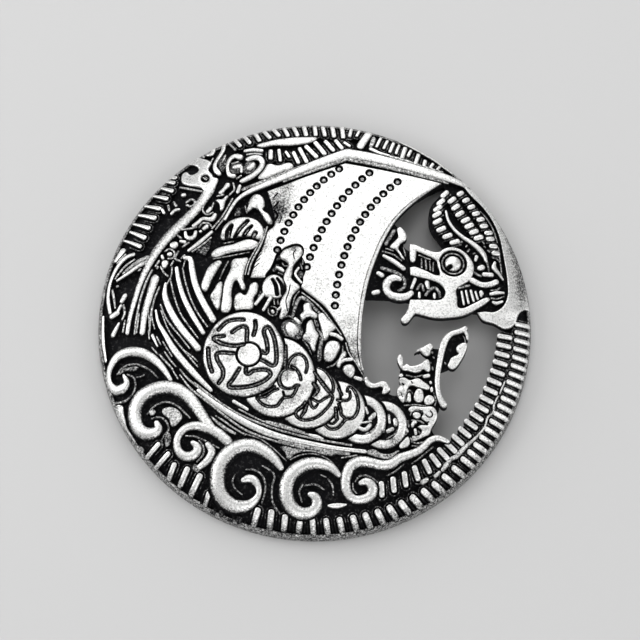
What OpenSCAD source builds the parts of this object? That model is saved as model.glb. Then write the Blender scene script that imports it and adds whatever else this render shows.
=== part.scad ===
// Round openwork ship brooch: one cast plate with raised relief, hollow behind, and its pin.
// The resting plane of the rim is z = 0, +Y is the top of the picture, and the face looks up.

/* [Brooch] */
// Outer diameter of the rim
brooch_d = 42; // [38:0.5:46]
// Height of the relief at the crown
crown_h = 5; // [4.8:0.1:5.4]
// Radius of the gentle dome across the face
dome_r = 95; // [85:5:120]
// Height of the plain upright edge
edge_h = 1.1; // [0.9:0.1:1.3]
// Depth from the relief's tops to its floor
relief_h = 0.9; // [0.7:0.05:1]
// Thickness of the plate under the floor
plate_t = 0.9; // [0.8:0.05:1]
// Depth of the engraved lines
engraved_h = 0.35; // [0.2:0.05:0.5]

/* [Ribs] */
// Width of a rib in the outer row
rib_w = 0.56; // [0.4:0.02:0.64]
// Width of a rib in the inner row
inner_rib_w = 0.52; // [0.4:0.02:0.6]
// Length of a rib in the inner row
inner_rib_l = 1.35; // [1:0.05:1.5]

/* [Pin] */
// Diameter of the pin's wire
pin_d = 0.9; // [0.7:0.1:1.1]
// Distance from the hinge lug to the catch lug
pin_span = 26; // [22:1:27]
// Height of the pin's line above the picture's middle
pin_y = 4.8; // [4.4:0.2:5.6]
// Height of the pin's wire over the resting plane
pin_z = 0.95; // [0.8:0.05:1.1]
// Thickness of each lug
lug_t = 1.6; // [1.2:0.1:2]
// Width of each lug across the pin
lug_w = 2.4; // [2:0.1:3]

/* [Hidden] */

rim_r = brooch_d / 2;
unit = brooch_d / 42;        // the relief is laid out on a 42 mm face
shoulder_r = 16.5 * unit;    // where the face begins to round over to the edge
shoulder_power = 2.6;
hollow_r = 19.2 * unit;
hollow_edge_h = 0.7;         // height of the hollow's upright side
pad_gap = 0.05;              // between the lugs and the pads that they sit on
pad_z = 1.85;                // underside of the pads
pad_h = 0.75;                // up to inside the plate
pad_lip = 0.3;               // by which a pad is wider than its lug
rise = crown_h + 1;          // height of the blanks that the domes trim

// Rings that each domed face is faceted through: radius, sides
TOP_RINGS = [[1, 4], [10, 8], [16.6, 24], [19.15, 24], [20.2, 24], [20.9, 24]];
FLOOR_RINGS = [[1, 4], [10, 8], [16.6, 24], [21, 48]];
HOLLOW_RINGS = [[1, 4], [10, 8], [14.5, 16], [17.3, 24]];

function cap_z(r) = crown_h - r * r / (2 * dome_r);
function shoulder(r) = max(0, min(1, (r - shoulder_r) / (rim_r - shoulder_r)));
function top_z(r) =
    cap_z(r) - (cap_z(r) - edge_h) * (1 - sqrt(max(0, 1 - pow(shoulder(r), shoulder_power))));

// Smooth curves through hand-set knots, each knot being [x, y] or [x, y, width]
function blend(a, b, c, d, t) =
    (2 * b + (c - a) * t + (2 * a - 5 * b + 4 * c - d) * t * t + (3 * b - a - 3 * c + d) * t * t * t) / 2;
function pick(k, i) = k[max(0, min(len(k) - 1, i))];
function smooth(k, n) = [
    for (i = [0 : len(k) - 2], j = [0 : n - 1])
        blend(pick(k, i - 1), k[i], k[i + 1], pick(k, i + 2), j / n),
    k[len(k) - 1]
];

// Point of a bowed row whose knots are its first, middle and last place
function along(k, t) =
    (1 - t) * (1 - 2 * t) * k[0] + 4 * t * (1 - t) * k[1] + t * (2 * t - 1) * k[2];

// Places beside and beyond a knot of a line: side is 1 or -1 across it, and way 1 or -1 along it
function place(q) = [q[0], q[1]];
function heading(path, i) =
    let (h = place(pick(path, i + 1)) - place(pick(path, i - 1))) h / norm(h);
function edge(path, i, side) =
    let (h = heading(path, i)) place(path[i]) + side * path[i][2] / 2 * [-h[1], h[0]];
tip_l = 0.6;                 // length of a dot's pointed end, in widths
function tip(path, i, way) = place(path[i]) + way * tip_l * path[i][2] * heading(path, i);

module bead(q) translate(place(q)) circle(d = q[2], $fn = 8);
module disc(q, more = 0) translate(place(q)) circle(d = q[2] + more, $fn = 12);

// A raised line whose width follows its knots. Lines of three run straight, and dots of two are pointed
module stroke(knots, n = 2) {
    path = n > 1 && len(knots) > 3 ? smooth(knots, n) : knots;
    last = len(path) - 1;
    for (i = [0 : last - 1]) hull() polygon([
        edge(path, i, 1), edge(path, i, -1), edge(path, i + 1, -1), edge(path, i + 1, 1),
        if (last == 1) each [tip(path, 0, -1), tip(path, 1, 1)]
    ]);
}
module strokes(rows, n = 2) for (row = rows) stroke(row, n);
module outlines(rows) for (row = rows) polygon(row);

// A short straight rib at polar place [angle, radius], turned by lean
module rib(angle, radius, size, lean)
    rotate(angle) translate([radius, 0]) rotate(lean) square(size, center = true);

// Sail, yard and mast foot. Knots of lines: x, y, width. Knots of outlines: x, y
YARD = [
    [-8.6, 10.4, 0.35], [-7.7, 12.1, 0.4], [-6.5, 13.1, 0.45], [-4, 14, 0.7], [0, 15.8, 1.1],
    [3.3, 17.05, 1.3], [6.6, 16.35, 1.25], [14.6, 14.5, 0.9]
];
SAIL = [
    [-4.8, 12.9], [-1, 14.55], [3, 16.15], [7, 15.3], [12.4, 14.3], [9.8, 12.15], [8, 10.2], [6.9, 8.3],
    [6.1, 6.4], [5.3, 4], [4.8, 1.6], [4.5, -1.2], [4.5, -3.6], [4.85, -5.8], [3.6, -4.2], [2.9, -2],
    [1.4, 0.4], [-1.3, 3], [-2.2, 3.9], [-3.9, 4.5], [-6.4, 4], [-6.1, 5.5], [-5, 7.9], [-4.7, 9],
    [-3.9, 9.6], [-4.4, 11.4]
];
// Rows of ring punches in the sail: first, middle and last centre, and how many
PUNCH_ROWS = [
    [[2.4, 15.5], [-1.3, 11.75], [-3.6, 6.85], 12],
    [[5.35, 15.1], [1.65, 10.65], [-0.75, 5.05], 13],
    [[8.1, 14.2], [3.75, 8.5], [1.95, 1.1], 16]
];
punch_d = 0.62;
warrior_gap = 0.25;          // cut round the second warrior, who stands in front of the sail

// Shields, from the big one at the stern to the bow: x, y, half width, half height
SHIELDS = [
    [-6.8, -3.6, 3.9, 4.2], [-3.65, -6.15, 3.65, 3.65], [-0.65, -7.85, 3.05, 3.05],
    [2.05, -9.1, 2.8, 2.8], [4.5, -10, 2.35, 2.35], [6.55, -10.5, 2.3, 2.3]
];
shield_sides = 20;
shield_rim = 0.75;
shield_gap = 0.28;
groove_w = 0.34;
engraved_inset = 0.3;        // from the big shield's edge to the floor of its engraved lines
BOSS = [-6.3, -3.7, 2.4];
SHIELD_LINES = [
    [[-9.2, -1.15, 0.34], [-8.2, -0.35, 0.34], [-6.8, -0.25, 0.34]],
    [[-5.7, -0.4, 0.34], [-5.85, -1.8, 0.34]],
    [[-6.5, -2.4, 0.34], [-6.55, -1, 0.34], [-7.9, -1.45, 0.34]],
    [[-8.7, -1.8, 0.34], [-9.6, -2.05, 0.34], [-8.4, -2.7, 0.34], [-6.9, -2.75, 0.34]],
    [[-7.5, -3.5, 0.34], [-9.3, -3.55, 0.34], [-8.8, -5.2, 0.34], [-9.15, -6.4, 0.34]],
    [[-10.2, -3, 0.34], [-9.8, -5.3, 0.34]],
    [[-7.1, -4.9, 0.34], [-8.2, -6.75, 0.34], [-5.4, -6.6, 0.34], [-4.3, -5.6, 0.34], [-6.3, -5.5, 0.34]],
    [[-5.3, -3.4, 0.34], [-4.55, -3.6, 0.34], [-4.7, -1.2, 0.34], [-3.75, -2.5, 0.34], [-3.8, -4.8, 0.34],
        [-5.4, -4.2, 0.34]]
];

// Strakes and rails of the hull: x, y, width
STRAKES = [
    [[-12, 6, 0.8], [-11.5, 3.5, 0.85], [-10.5, 1.1, 0.85], [-9.8, -0.1, 0.8]],
    [[-13.3, 5.1, 0.5], [-12.7, 2.2, 0.6], [-11.7, 0, 0.6], [-10.7, -1.4, 0.5]],
    [[-14.4, 3.5, 0.6], [-13.6, 0.9, 0.8], [-12.4, -1.2, 0.8], [-11.2, -2.9, 0.7]],
    [[-15.2, 1, 0.3], [-14.7, -0.8, 0.65], [-13.4, -3.1, 0.8], [-11.6, -5.3, 0.7], [-9.9, -7.1, 0.4]],
    [[-11.3, -7, 0.45], [-9.5, -8.5, 0.7], [-7, -10.1, 0.75], [-4, -11.4, 0.8], [-1, -12.1, 0.7],
        [4.7, -13.1, 0.35]],
    [[-13, -5.1, 0.25], [-10.9, -6.8, 0.3], [-7.4, -9.4, 0.3], [-2, -11, 0.3], [3, -12.3, 0.3]],
    [[-15.5, -1.6, 0.35], [-15, -2.6, 0.2]],
    [[-14.7, -2.3, 0.25], [-13.2, -5, 0.3], [-10.4, -8, 0.3], [-7, -11, 0.3]]
];

// Crew between sail and shields, as plain blocks of helmets, cloaks and arms
CREW = [
    [[-6.4, 12.4], [-5.9, 13], [-5.1, 12.6], [-4.9, 11.1], [-4, 10.1], [-4, 9.5], [-4.8, 10.1], [-5.6, 11.2],
        [-6.3, 11.1]],
    [[-9.1, 8], [-8.8, 9.6], [-7.7, 10.35], [-6.1, 10.35], [-5, 9.5], [-4.9, 8.4], [-5.5, 7.9], [-8.9, 7.8]],
    [[-9.9, 6.7], [-9.3, 7.2], [-7, 7.7], [-6, 8], [-5.6, 7.4], [-7.2, 6.95], [-9.5, 6.35]],
    [[-10.7, 3.1], [-10.5, 4.6], [-9.9, 5.7], [-8.7, 6], [-9.5, 4.8], [-10.4, 2.8]],
    [[-9.9, 2.3], [-9, 3.5], [-9.1, 1.1], [-9.4, 0.9]],
    [[-9, 0.8], [-8.3, 4.4], [-8, 6.1], [-6.3, 6.3], [-6.8, 3.9], [-6.6, 2.5], [-7.6, 3.4], [-7.9, 3.1],
        [-8.2, 0.8]],
    [[-7.6, 1], [-7.5, 2.2], [-6.5, 2.5], [-6, 3.3], [-5.5, 3], [-6, 1]],
    [[-3.2, 6.5], [-2.4, 7.3], [-1.5, 7.4], [-1, 6.6], [-1.7, 5.4], [-2, 4.2], [-1.5, 3.2], [-2.4, 1.4],
        [-3.2, -0.2], [-3.5, 0.4], [-3.3, 2], [-2.8, 3], [-3.3, 4.4], [-2.7, 5.3], [-3.1, 6]],
    [[-5, 3.3], [-4.6, 4.1], [-3.9, 4.3], [-3.9, 3.5], [-3.4, 2.6], [-3.7, 2], [-4.7, 2.3]],
    [[-1.2, 0.2], [-1, 1], [-0.5, 1.4], [0, 0.9], [0.1, 0.2], [-0.4, 0]],
    [[0.3, 0.5], [0.9, 0.4], [2.4, -1.2], [1.9, -1.6], [1.2, -1.5], [0.9, -1.9], [0.4, -0.8]],
    [[-2.9, -0.8], [-1.8, -0.4], [-1.4, -1.2], [-1.6, -2], [-2.3, -2.1], [-2.9, -1.5]],
    [[-0.9, -1.1], [-0.3, -0.4], [0.1, -1], [0.6, -2], [0.1, -3.5], [-0.5, -2.6], [-1.1, -2]],
    [[1, -3.3], [1.4, -2.5], [2.1, -2.5], [2.4, -3.2], [1.9, -4.2], [1.4, -4.5], [1, -4.1]],
    [[2.7, -5.1], [3.1, -4.6], [3.6, -4.8], [3.8, -5.6], [3.5, -6], [3, -5.6]]
];
second_warrior = 7;
CREW_LINES = [
    [[-5.5, 1.3, 0.35], [-4.9, 2.1, 0.35]], [[-4.8, 0.8, 0.3], [-4.2, 1.9, 0.3]],
    [[-4.3, 0.6, 0.4], [-3.7, 0.5, 0.4]], [[1.6, -1.9, 0.35], [2.6, -2.1, 0.35]],
    [[2.1, -4.8, 0.4], [2.8, -3.8, 0.35], [3.6, -4.2, 0.3]]
];
FACE_SLOTS = [
    [[-8.3, 8.4, 0.6], [-8.2, 9.3, 0.7]], [[-7.4, 8.5, 0.35], [-6.4, 9.8, 0.35]],
    [[-6.5, 8.4, 0.35], [-6, 9.3, 0.35]]
];

// Stern post with its beast head, spirals and interlace: x, y, width
STERN_LINES = [
    [[-17.95, -1.1, 0.4], [-17.4, 2.2, 0.5], [-16.3, 5.4, 0.65], [-14.8, 8.2, 0.9], [-12.9, 10.2, 1.1],
        [-10.9, 12.3, 0.9], [-9.9, 14.3, 0.7]],
    [[-16.6, -1.1, 0.6], [-16.2, 2, 0.8], [-15.3, 4.7, 0.8]],
    [[-17.3, -1.7, 0.18], [-16.8, 3, 0.18], [-16, 5.6, 0.18]],
    [[-16.3, 6.3, 0.4], [-19.2, 4.4, 0.35]],
    [[-17.6, 7, 0.35], [-19.1, 6.1, 0.4], [-19.95, 4.2, 0.35], [-19.85, 1.3, 0.35]],
    [[-18.3, 2.8, 0.45], [-19, 1.1, 0.4]], [[-19.7, 0.8, 0.55], [-19.1, 1.1, 0.55]],
    [[-19, -0.1, 0.25], [-19.4, -1, 0.45]],
    [[-8.9, 18.6, 0.35], [-9.1, 17.4, 0.35], [-9.8, 16.1, 0.3], [-9.5, 15.3, 0.55]],
    [[-10, 18.3, 0.45], [-10.3, 17.5, 0.4]],
    [[-7.3, 16.8, 0.6], [-8.2, 17, 0.45], [-8.5, 15.6, 0.35], [-8, 14.9, 0.5], [-7.5, 15.4, 0.3],
        [-7.5, 15.9, 0.5]],
    [[-6.5, 16.5, 0.6], [-5.6, 16.6, 0.8], [-5.6, 15.6, 0.7], [-6.3, 14.7, 0.6], [-7.2, 14.1, 0.3]],
    [[-6.7, 17.6, 0.3], [-5.2, 17.6, 0.3]],
    [[-12.1, 7.1, 0.3], [-10, 8.9, 0.3]], [[-9.1, 13.1, 0.4], [-8.5, 13.8, 0.5]],
    [[-9.5, 12.1, 0.3], [-9, 12.1, 0.6], [-9.1, 11.3, 0.25]],
    [[-9.7, 10.5, 0.45], [-10.2, 10.2, 0.4], [-11, 10.3, 0.35], [-11.7, 9.7, 0.35]],
    [[-12.6, 8.9, 0.3], [-12.3, 8.3, 0.35], [-11.6, 8.8, 0.35]],
    [[-13.8, 7.8, 0.55], [-13.5, 7.6, 0.55]], [[-14.7, 5.9, 0.5], [-14.4, 5.7, 0.45]],
    [[-10.7, 9.4, 0.4], [-10.5, 9.3, 0.4]], [[-10.4, 11.1, 0.3], [-10.1, 11.4, 0.3]]
];
STERN_SHAPES = [
    [[-13, 15.5], [-12.9, 14.4], [-12, 13.95], [-11, 13.7], [-10.5, 13.3], [-9.5, 14.5], [-10.1, 15.1],
        [-10.4, 15.9], [-10.2, 16.6], [-11.1, 17.3], [-11.6, 17.5], [-12.4, 16.9], [-11.4, 16.1],
        [-11.6, 15.3], [-12.1, 15.3], [-12.6, 15.7]],
    [[-5.6, 18.2], [-4.6, 18.7], [-3, 19.05], [-1, 19.15], [0.2, 18.95], [-1.8, 18.25], [-4, 18.25]],
    [[-4.5, 16.1], [-3.6, 15.9], [-2.5, 16.2], [-2.1, 15.7], [-3.3, 15], [-5.2, 14.5], [-4.9, 15.5]]
];
BEAST_EYE = [-10.65, 14.7, 0.8];

// Scroll waves: x, y, width
WAVES = [
    [[-13.9, -5.8, 0.4], [-15.4, -4, 0.8], [-17.7, -2.95, 0.9], [-19.6, -4.1, 0.6], [-19.5, -6, 0.6],
        [-18.3, -6.2, 0.9], [-18.3, -5.5, 0.3]],
    [[-10.8, -10, 0.5], [-12.4, -7.7, 1.2], [-14.6, -6.9, 1.3], [-16.8, -8.2, 1.5], [-16.9, -10.3, 1.3],
        [-15.4, -11, 1.1], [-15, -10.3, 0.7]],
    [[-8.3, -12, 1], [-10.4, -10.6, 0.9], [-12.3, -10.6, 0.6], [-13.15, -12, 0.5], [-12.1, -13.3, 0.8],
        [-11.2, -12.8, 0.9], [-11.6, -12.1, 0.4]],
    [[-10.2, -12.3, 0.4], [-9.9, -13.2, 0.65], [-10.8, -14.3, 0.5]],
    [[-3, -14.7, 0.8], [-4.6, -13.1, 1.1], [-6.5, -12.5, 1.3], [-8.8, -13.8, 1.5], [-9.1, -16.4, 1.5],
        [-7.3, -18, 1.3], [-5.7, -17.3, 0.8], [-5.5, -16.2, 0.7], [-6.5, -15.6, 0.6]],
    [[2.1, -15.2, 0.7], [0.5, -14.3, 1.1], [-1.2, -14.4, 1.3], [-2.6, -16, 1.4], [-2.3, -18.1, 1.2],
        [-0.8, -18.9, 0.9], [0.3, -17.9, 1], [-0.3, -17.1, 0.6]],
    [[12.6, -12, 0.4], [11.4, -11.65, 0.5], [10, -12.6, 0.6], [7, -14.2, 0.85], [4.3, -13.9, 1.1],
        [2.8, -15.6, 1], [3.5, -17.4, 0.9], [5.2, -17.3, 0.9], [5.2, -16.3, 0.8], [4.5, -16, 0.4]],
    [[1.4, -18.15, 0.25], [2.1, -18.2, 0.5], [2.8, -18.3, 0.25]]
];

// Rope border. Outer row by number from the dragon's chin: number, angle, and angle, lean
outer_ribs = 43;
OUTER_ANGLE = [
    [0, -0.1], [2, -4.8], [12, -29.6], [17, -43.2], [22, -61.1], [27, -79], [32, -98], [35, -110.2],
    [38, -125.2], [42, -140.9]
];
OUTER_LEAN = [[-141, 8], [-125, 8], [-106, -2], [-98, 3], [-79, 9], [-65, 17], [-50, 21], [-40, 10], [0, 0]];
outer_rib_r = 20;
outer_rib_l = 1.5;
wave_gap = 0.2;              // round the waves, where ribs end
hidden_ribs = [36];          // where a wave covers the border
// Inner row: number, angle, and angle, lean
inner_ribs = 21;
INNER_ANGLE = [[0, -4.5], [3, -12.9], [10, -34.3], [16, -53.3], [20, -69]];
INNER_LEAN = [[-69, -10], [-61, -13], [-53, -3], [-40, 2], [0, 0]];
inner_rib_r = 18.4;          // of the first one, and they draw in by inner_rib_step each
inner_rib_step = 0.03;
// Shorter rows: how many, first and last angle, radius, length, width, first and last lean
RIB_ROWS = [
    [14, 112, 77.5, 19.9, 1.2, 0.42, 13, 4],
    [7, 71.3, 59.7, 20, 1.2, 0.32, 5, 5],
    [8, 134, 155, 19.8, 1.8, 0.55, 24, -4]
];
// Plain pieces of the border: x, y, width
BORDER_LINES = [
    [[5.2, 20, 0.7], [4.5, 18.3, 0.7]], [[7.4, 19.3, 0.25], [10.6, 17.8, 0.3], [13.4, 15.8, 0.2]],
    [[-20.5, 0.9, 0.2], [-20.45, -1.5, 0.3], [-20.15, -3.6, 0.2]],
    [[-18.9, -8.2, 0.25], [-18.6, -8.6, 0.5], [-18.3, -9.8, 0.25]], [[-18.9, 7.5, 0.7], [-18.6, 7.6, 0.6]],
    [[-4.35, 17.6, 0.42], [-4.3, 16.9, 0.42]], [[-3.6, 17.5, 0.3], [-3.4, 16.6, 0.4]],
    [[-2.05, 17.3, 0.35], [-1.5, 16.2, 0.35]], [[-1.45, 17.8, 0.35], [-0.85, 16.3, 0.35]],
    [[-0.8, 18, 0.4], [0.2, 17, 0.4]], [[0.2, 18.5, 0.42], [1.1, 17.2, 0.4]],
    [[1.15, 18.7, 0.42], [1.9, 17.6, 0.4]], [[2.05, 18.7, 0.4], [2.7, 17.9, 0.38]],
    [[2.95, 18.7, 0.3], [3.4, 18.2, 0.3]]
];

// Dragon: outlines, lines and rows of crest ribs
DRAGON_SHAPES = [
    [[12, 7], [12.7, 7.4], [13.6, 7.4], [14.5, 7], [15.1, 6.2], [15.5, 5.4], [15.2, 4.5], [15, 3.8],
        [14.2, 3.6], [13.6, 3], [13.9, 1.3], [15.4, 1.6], [16.6, 2.4], [17, 2.1], [15.5, 1.1], [14, 0.4],
        [12, 0.15], [10.5, 0.35], [9.6, 0.45], [8.8, -0.4], [8.3, -0.3], [9, 0.9], [9.2, 1.7], [12.1, 2],
        [12.6, 2.7], [12.1, 3.6], [9.2, 4.4], [9.2, 5.2], [10.3, 5.05], [12, 4.6], [11.7, 6.2], [9.9, 6.9],
        [9.8, 5.8], [9.3, 5.8], [9.25, 7.6], [10.3, 7.6]],
    [[8.3, 9.4], [8.9, 8.6], [8.8, 8], [7.8, 7.2], [7.3, 7.3], [7.9, 8.5]]
];
DRAGON_LINES = [
    [[8, 3.95, 0.6], [7.4, 4, 0.7], [7, 3.1, 0.8], [7.6, 2.4, 0.75], [8.6, 2.2, 0.7], [9.3, 2.5, 0.6]],
    [[6.9, 6.3, 0.3], [7.8, 5.8, 0.5], [8.6, 5.1, 0.4]], [[6.3, 4.4, 0.4], [6.6, 4.3, 0.4]],
    [[5.7, 2.5, 0.4], [6.2, 2.5, 0.4]], [[7.8, 6.9, 0.2], [8.6, 6.1, 0.2]],
    [[9.4, 3.2, 0.25], [9.7, 3.9, 0.3]], [[10.8, 3, 0.2], [10.9, 3.6, 0.4]],
    [[12.8, 11.1, 0.2], [13.4, 9.6, 0.25], [15.1, 8.2, 0.3], [16.2, 7.4, 0.6], [16.7, 6.3, 0.25]],
    [[15.2, 4, 0.4], [16.2, 3.7, 0.5], [17.6, 4.2, 0.35]],
    [[17.4, 6, 0.35], [17.7, 5.2, 0.4], [18.2, 4.5, 0.2]],
    [[15.9, 5.4, 0.45], [16.3, 5.6, 0.5]], [[16.3, 4.7, 0.4], [17, 4.7, 0.4]],
    [[14.4, 2.8, 0.18], [14.7, 1.6, 0.18]], [[15, 3, 0.18], [15.6, 2, 0.18]],
    [[17.1, 2.8, 0.3], [18.1, 3, 0.25]], [[17.3, 1.9, 0.25], [18, 2.1, 0.25]]
];
EYE = [13.4, 5.75, 2.4];
EYE_BALL = 1.65;
// Border of smooth metal along the dragon's neck
NECK = [
    [14.6, 14.3], [15.3, 13.3], [16.4, 12.2], [17.4, 10.7], [18, 9.1], [18.4, 6.8], [18.7, 4.4], [18.7, 2.8],
    [18.2, 1.6], [17.3, 0.95], [16.4, 0.95], [15.7, 0.8], [16.2, 0.1], [17.3, -0.2], [18.4, -0.65],
    [19.3, -0.1], [19.8, 1.1], [20.4, 1.6], [21, 1.6]
];
neck_arc_r = 21.4;           // beyond the rim, where the dome trims it
// Crest columns: first, middle and last centre, how many, rib length, and rib angle
CREST = [
    [[11.75, 12.1], [11.85, 10.05], [13.4, 8.1], 7, 0.95, 26],
    [[12.7, 12.95], [14.45, 10.8], [15.95, 8.6], 8, 1.05, 36],
    [[14.4, 13.25], [16.35, 10.35], [17.7, 7], 10, 0.8, 14]
];
crest_rib_w = 0.42;

// Prow and bow ornament
PROW_LINES = [
    [[14.6, -1.7, 0.3], [14.2, -1.2, 0.6], [12.8, -1.8, 0.5], [11.9, -4.6, 0.5], [11.65, -6.8, 0.5],
        [12.3, -8.5, 0.7]],
    [[14.5, -2.5, 0.6], [14, -3.3, 0.5], [13.3, -4.4, 0.8]],
    [[8.15, -3.9, 0.4], [8.3, -4.7, 0.45], [9.5, -4.95, 0.55], [10.8, -4.5, 0.7]],
    [[10.3, -3.1, 0.4], [11, -2.9, 0.7]],
    [[8, -7.6, 0.4], [8.4, -6.2, 0.6], [9.7, -6.3, 0.55], [10.8, -6.7, 0.4]],
    [[9.1, -7.4, 0.35], [9, -8.2, 0.35]], [[10, -7.2, 0.7], [10, -7.8, 0.8]],
    [[11, -7.9, 0.8], [10.8, -8, 0.8]],
    [[9, -9, 0.3], [10, -8.8, 0.4], [11.3, -9, 0.5], [11.4, -10.1, 0.5], [10.4, -11.3, 0.7],
        [9.7, -11.8, 0.4]],
    [[9.6, -9.4, 0.5], [9.9, -9.5, 0.5]], [[9.4, -10.4, 0.4], [10.3, -10.1, 0.35], [10.9, -10.4, 0.3]],
    [[8.5, -12.3, 0.4], [8.8, -11.9, 0.6]],
    [[5, -6.3, 0.4], [5.6, -6.7, 0.45], [6.5, -6.6, 0.45], [7, -7.1, 0.55]]
];

// Through gaps of the face: beside the sail's upper edge, and round the prow
GAPS = [
    [[12.6, 14.2], [9.6, 12.2], [7.8, 10.2], [8.3, 9.2], [9, 7.2], [12, 6.8], [12.5, 7.4], [11.3, 9.4],
        [11.1, 10.8], [11.4, 12], [12.8, 13.9]],
    [[4.2, 2.2], [9.2, 1.9], [10, 0.8], [15.5, 1.1], [16.5, 0.6], [18.4, -0.3], [17.8, -2.3], [16.7, -5.8],
        [15, -9.2], [13.1, -11.7], [12.2, -11.8], [11.2, -10.6], [12, -8.3], [11.7, -5.4], [13.2, -4.4],
        [14.4, -2.6], [14.1, -1.2], [12.7, -1.75], [12.3, -2.7], [10.8, -2.9], [10.6, -4.5], [8.4, -4.6],
        [8, -7.4], [6, -6.6], [4.5, -6]]
];

module sail_shapes() {
    difference() {
        polygon(SAIL);
        for (row = PUNCH_ROWS) for (i = [0 : row[3] - 1])
            translate(along(row, i / (row[3] - 1))) circle(d = punch_d, $fn = 4);
        offset(delta = warrior_gap) polygon(CREW[second_warrior]);
    }
    stroke(YARD, 1);
}

module ellipse(s, inset) translate([s[0], s[1]])
    scale([(s[2] - inset) / s[3], (s[3] - inset) / s[3]]) circle(r = s[3], $fn = shield_sides);

module shield_shapes() for (i = [0 : len(SHIELDS) - 1]) difference() {
    ellipse(SHIELDS[i], 0);
    if (i > 0) {
        ellipse(SHIELDS[i - 1], -shield_gap);
        difference() {
            ellipse(SHIELDS[i], shield_rim);
            ellipse(SHIELDS[i], shield_rim + shield_gap);
        }
    } else {
        difference() {
            disc(BOSS, groove_w);
            disc(BOSS, -groove_w);
        }
        strokes(SHIELD_LINES, 1);
    }
}

module all_shields() for (s = SHIELDS) ellipse(s, 0);

module crew_shapes() {
    difference() {
        outlines(CREW);
        strokes(FACE_SLOTS, 1);
    }
    strokes(CREW_LINES, 1);
}

module stern_shapes() {
    strokes(STERN_LINES);
    difference() {
        outlines(STERN_SHAPES);
        bead(BEAST_EYE);
    }
}

module rib_shapes() {
    for (i = [0 : outer_ribs - 1]) if (len(search(i, hidden_ribs)) == 0) {
        a = lookup(i, OUTER_ANGLE);
        rib(a, outer_rib_r, [outer_rib_l, rib_w], lookup(a, OUTER_LEAN));
    }
    for (i = [0 : inner_ribs - 1]) {
        a = lookup(i, INNER_ANGLE);
        rib(a, inner_rib_r - inner_rib_step * i, [inner_rib_l, inner_rib_w], lookup(a, INNER_LEAN));
    }
    for (row = RIB_ROWS) for (i = [0 : row[0] - 1]) {
        t = i / (row[0] - 1);
        rib(row[1] + (row[2] - row[1]) * t, row[3], [row[4], row[5]], row[6] + (row[7] - row[6]) * t);
    }
    strokes(BORDER_LINES, 1);
}

module dragon_shapes() {
    difference() {
        outlines(DRAGON_SHAPES);
        disc(EYE);
    }
    disc(EYE, EYE_BALL - EYE[2]);
    strokes(DRAGON_LINES);
    polygon(concat(NECK, [for (a = [8 : 9 : 44]) neck_arc_r * [cos(a), sin(a)]]));
    for (row = CREST) for (i = [0 : row[3] - 1])
        translate(along(row, i / (row[3] - 1))) rotate(row[5]) square([row[4], crest_rib_w], center = true);
}

module relief_shapes() {
    sail_shapes();
    difference() {
        union() {
            strokes(STRAKES);
            crew_shapes();
        }
        offset(delta = shield_gap) all_shields();
    }
    shield_shapes();
    stern_shapes();
    difference() {
        rib_shapes();
        offset(delta = wave_gap) strokes(WAVES);
    }
    strokes(WAVES);
    dragon_shapes();
    strokes(PROW_LINES);
}

// Solid under a domed face, which lies below the relief's tops by depth
module dome(rings, depth) hull() for (row = rings) {
    r = row[0] * unit;
    cylinder(r = r, h = max(edge_h, top_z(r) - depth), $fn = row[1]);
}

module face(shape_h) linear_extrude(shape_h) scale([unit, unit]) children();

module floor_plate() intersection() {
    dome(FLOOR_RINGS, relief_h);
    face(rise) difference() {
        square(2 * rim_r + 2, center = true);
        outlines(GAPS);
    }
}

module relief() {
    intersection() {
        dome(TOP_RINGS, 0);
        face(rise) relief_shapes();
    }
    // Floor of the engraved lines in the shields
    intersection() {
        dome(TOP_RINGS, engraved_h);
        face(rise) ellipse(SHIELDS[0], engraved_inset);
    }
}

module hollow() translate([0, 0, -1]) hull() {
    dome(HOLLOW_RINGS, relief_h + plate_t - 1);
    cylinder(r = hollow_r, h = 1 + hollow_edge_h, $fn = 24);
}

module lug_place() for (side = [-1, 1]) translate([side * pin_span / 2, pin_y, 0]) children();

module brooch_casting() color("silver") union() {
    difference() {
        union() {
            floor_plate();
            relief();
        }
        hollow();
    }
    // Soldering pads that carry the pin's lugs
    lug_place() translate([0, 0, pad_z + pad_h / 2])
        cube([lug_t + 2 * pad_lip, lug_w + 2 * pad_lip, pad_h], center = true);
}

module pin_back() color("gainsboro") {
    lug_place() translate([-lug_t / 2, -lug_w / 2, pin_z - pin_d / 2])
        cube([lug_t, lug_w, pad_z - pad_gap - pin_z + pin_d / 2]);
    translate([-pin_span / 2, pin_y, pin_z]) rotate([0, 90, 0]) cylinder(d = pin_d, h = pin_span, $fn = 32);
}

brooch_casting();
pin_back();
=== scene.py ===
import math

import bpy
import numpy as np
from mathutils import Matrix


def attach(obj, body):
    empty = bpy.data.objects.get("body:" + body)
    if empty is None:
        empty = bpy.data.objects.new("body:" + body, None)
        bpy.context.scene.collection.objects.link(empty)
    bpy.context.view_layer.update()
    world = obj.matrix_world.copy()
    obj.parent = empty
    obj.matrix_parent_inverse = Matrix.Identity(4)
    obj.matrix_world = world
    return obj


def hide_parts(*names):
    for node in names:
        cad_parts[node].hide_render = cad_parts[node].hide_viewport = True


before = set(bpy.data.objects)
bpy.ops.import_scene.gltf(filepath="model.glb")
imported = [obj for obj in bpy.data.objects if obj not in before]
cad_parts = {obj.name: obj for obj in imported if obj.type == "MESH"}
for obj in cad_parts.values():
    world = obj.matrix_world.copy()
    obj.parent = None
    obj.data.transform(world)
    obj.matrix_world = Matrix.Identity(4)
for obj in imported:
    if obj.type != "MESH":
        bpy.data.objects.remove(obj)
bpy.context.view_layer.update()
bpy.ops.object.select_all(action="DESELECT")
print("frame loaded")

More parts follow.
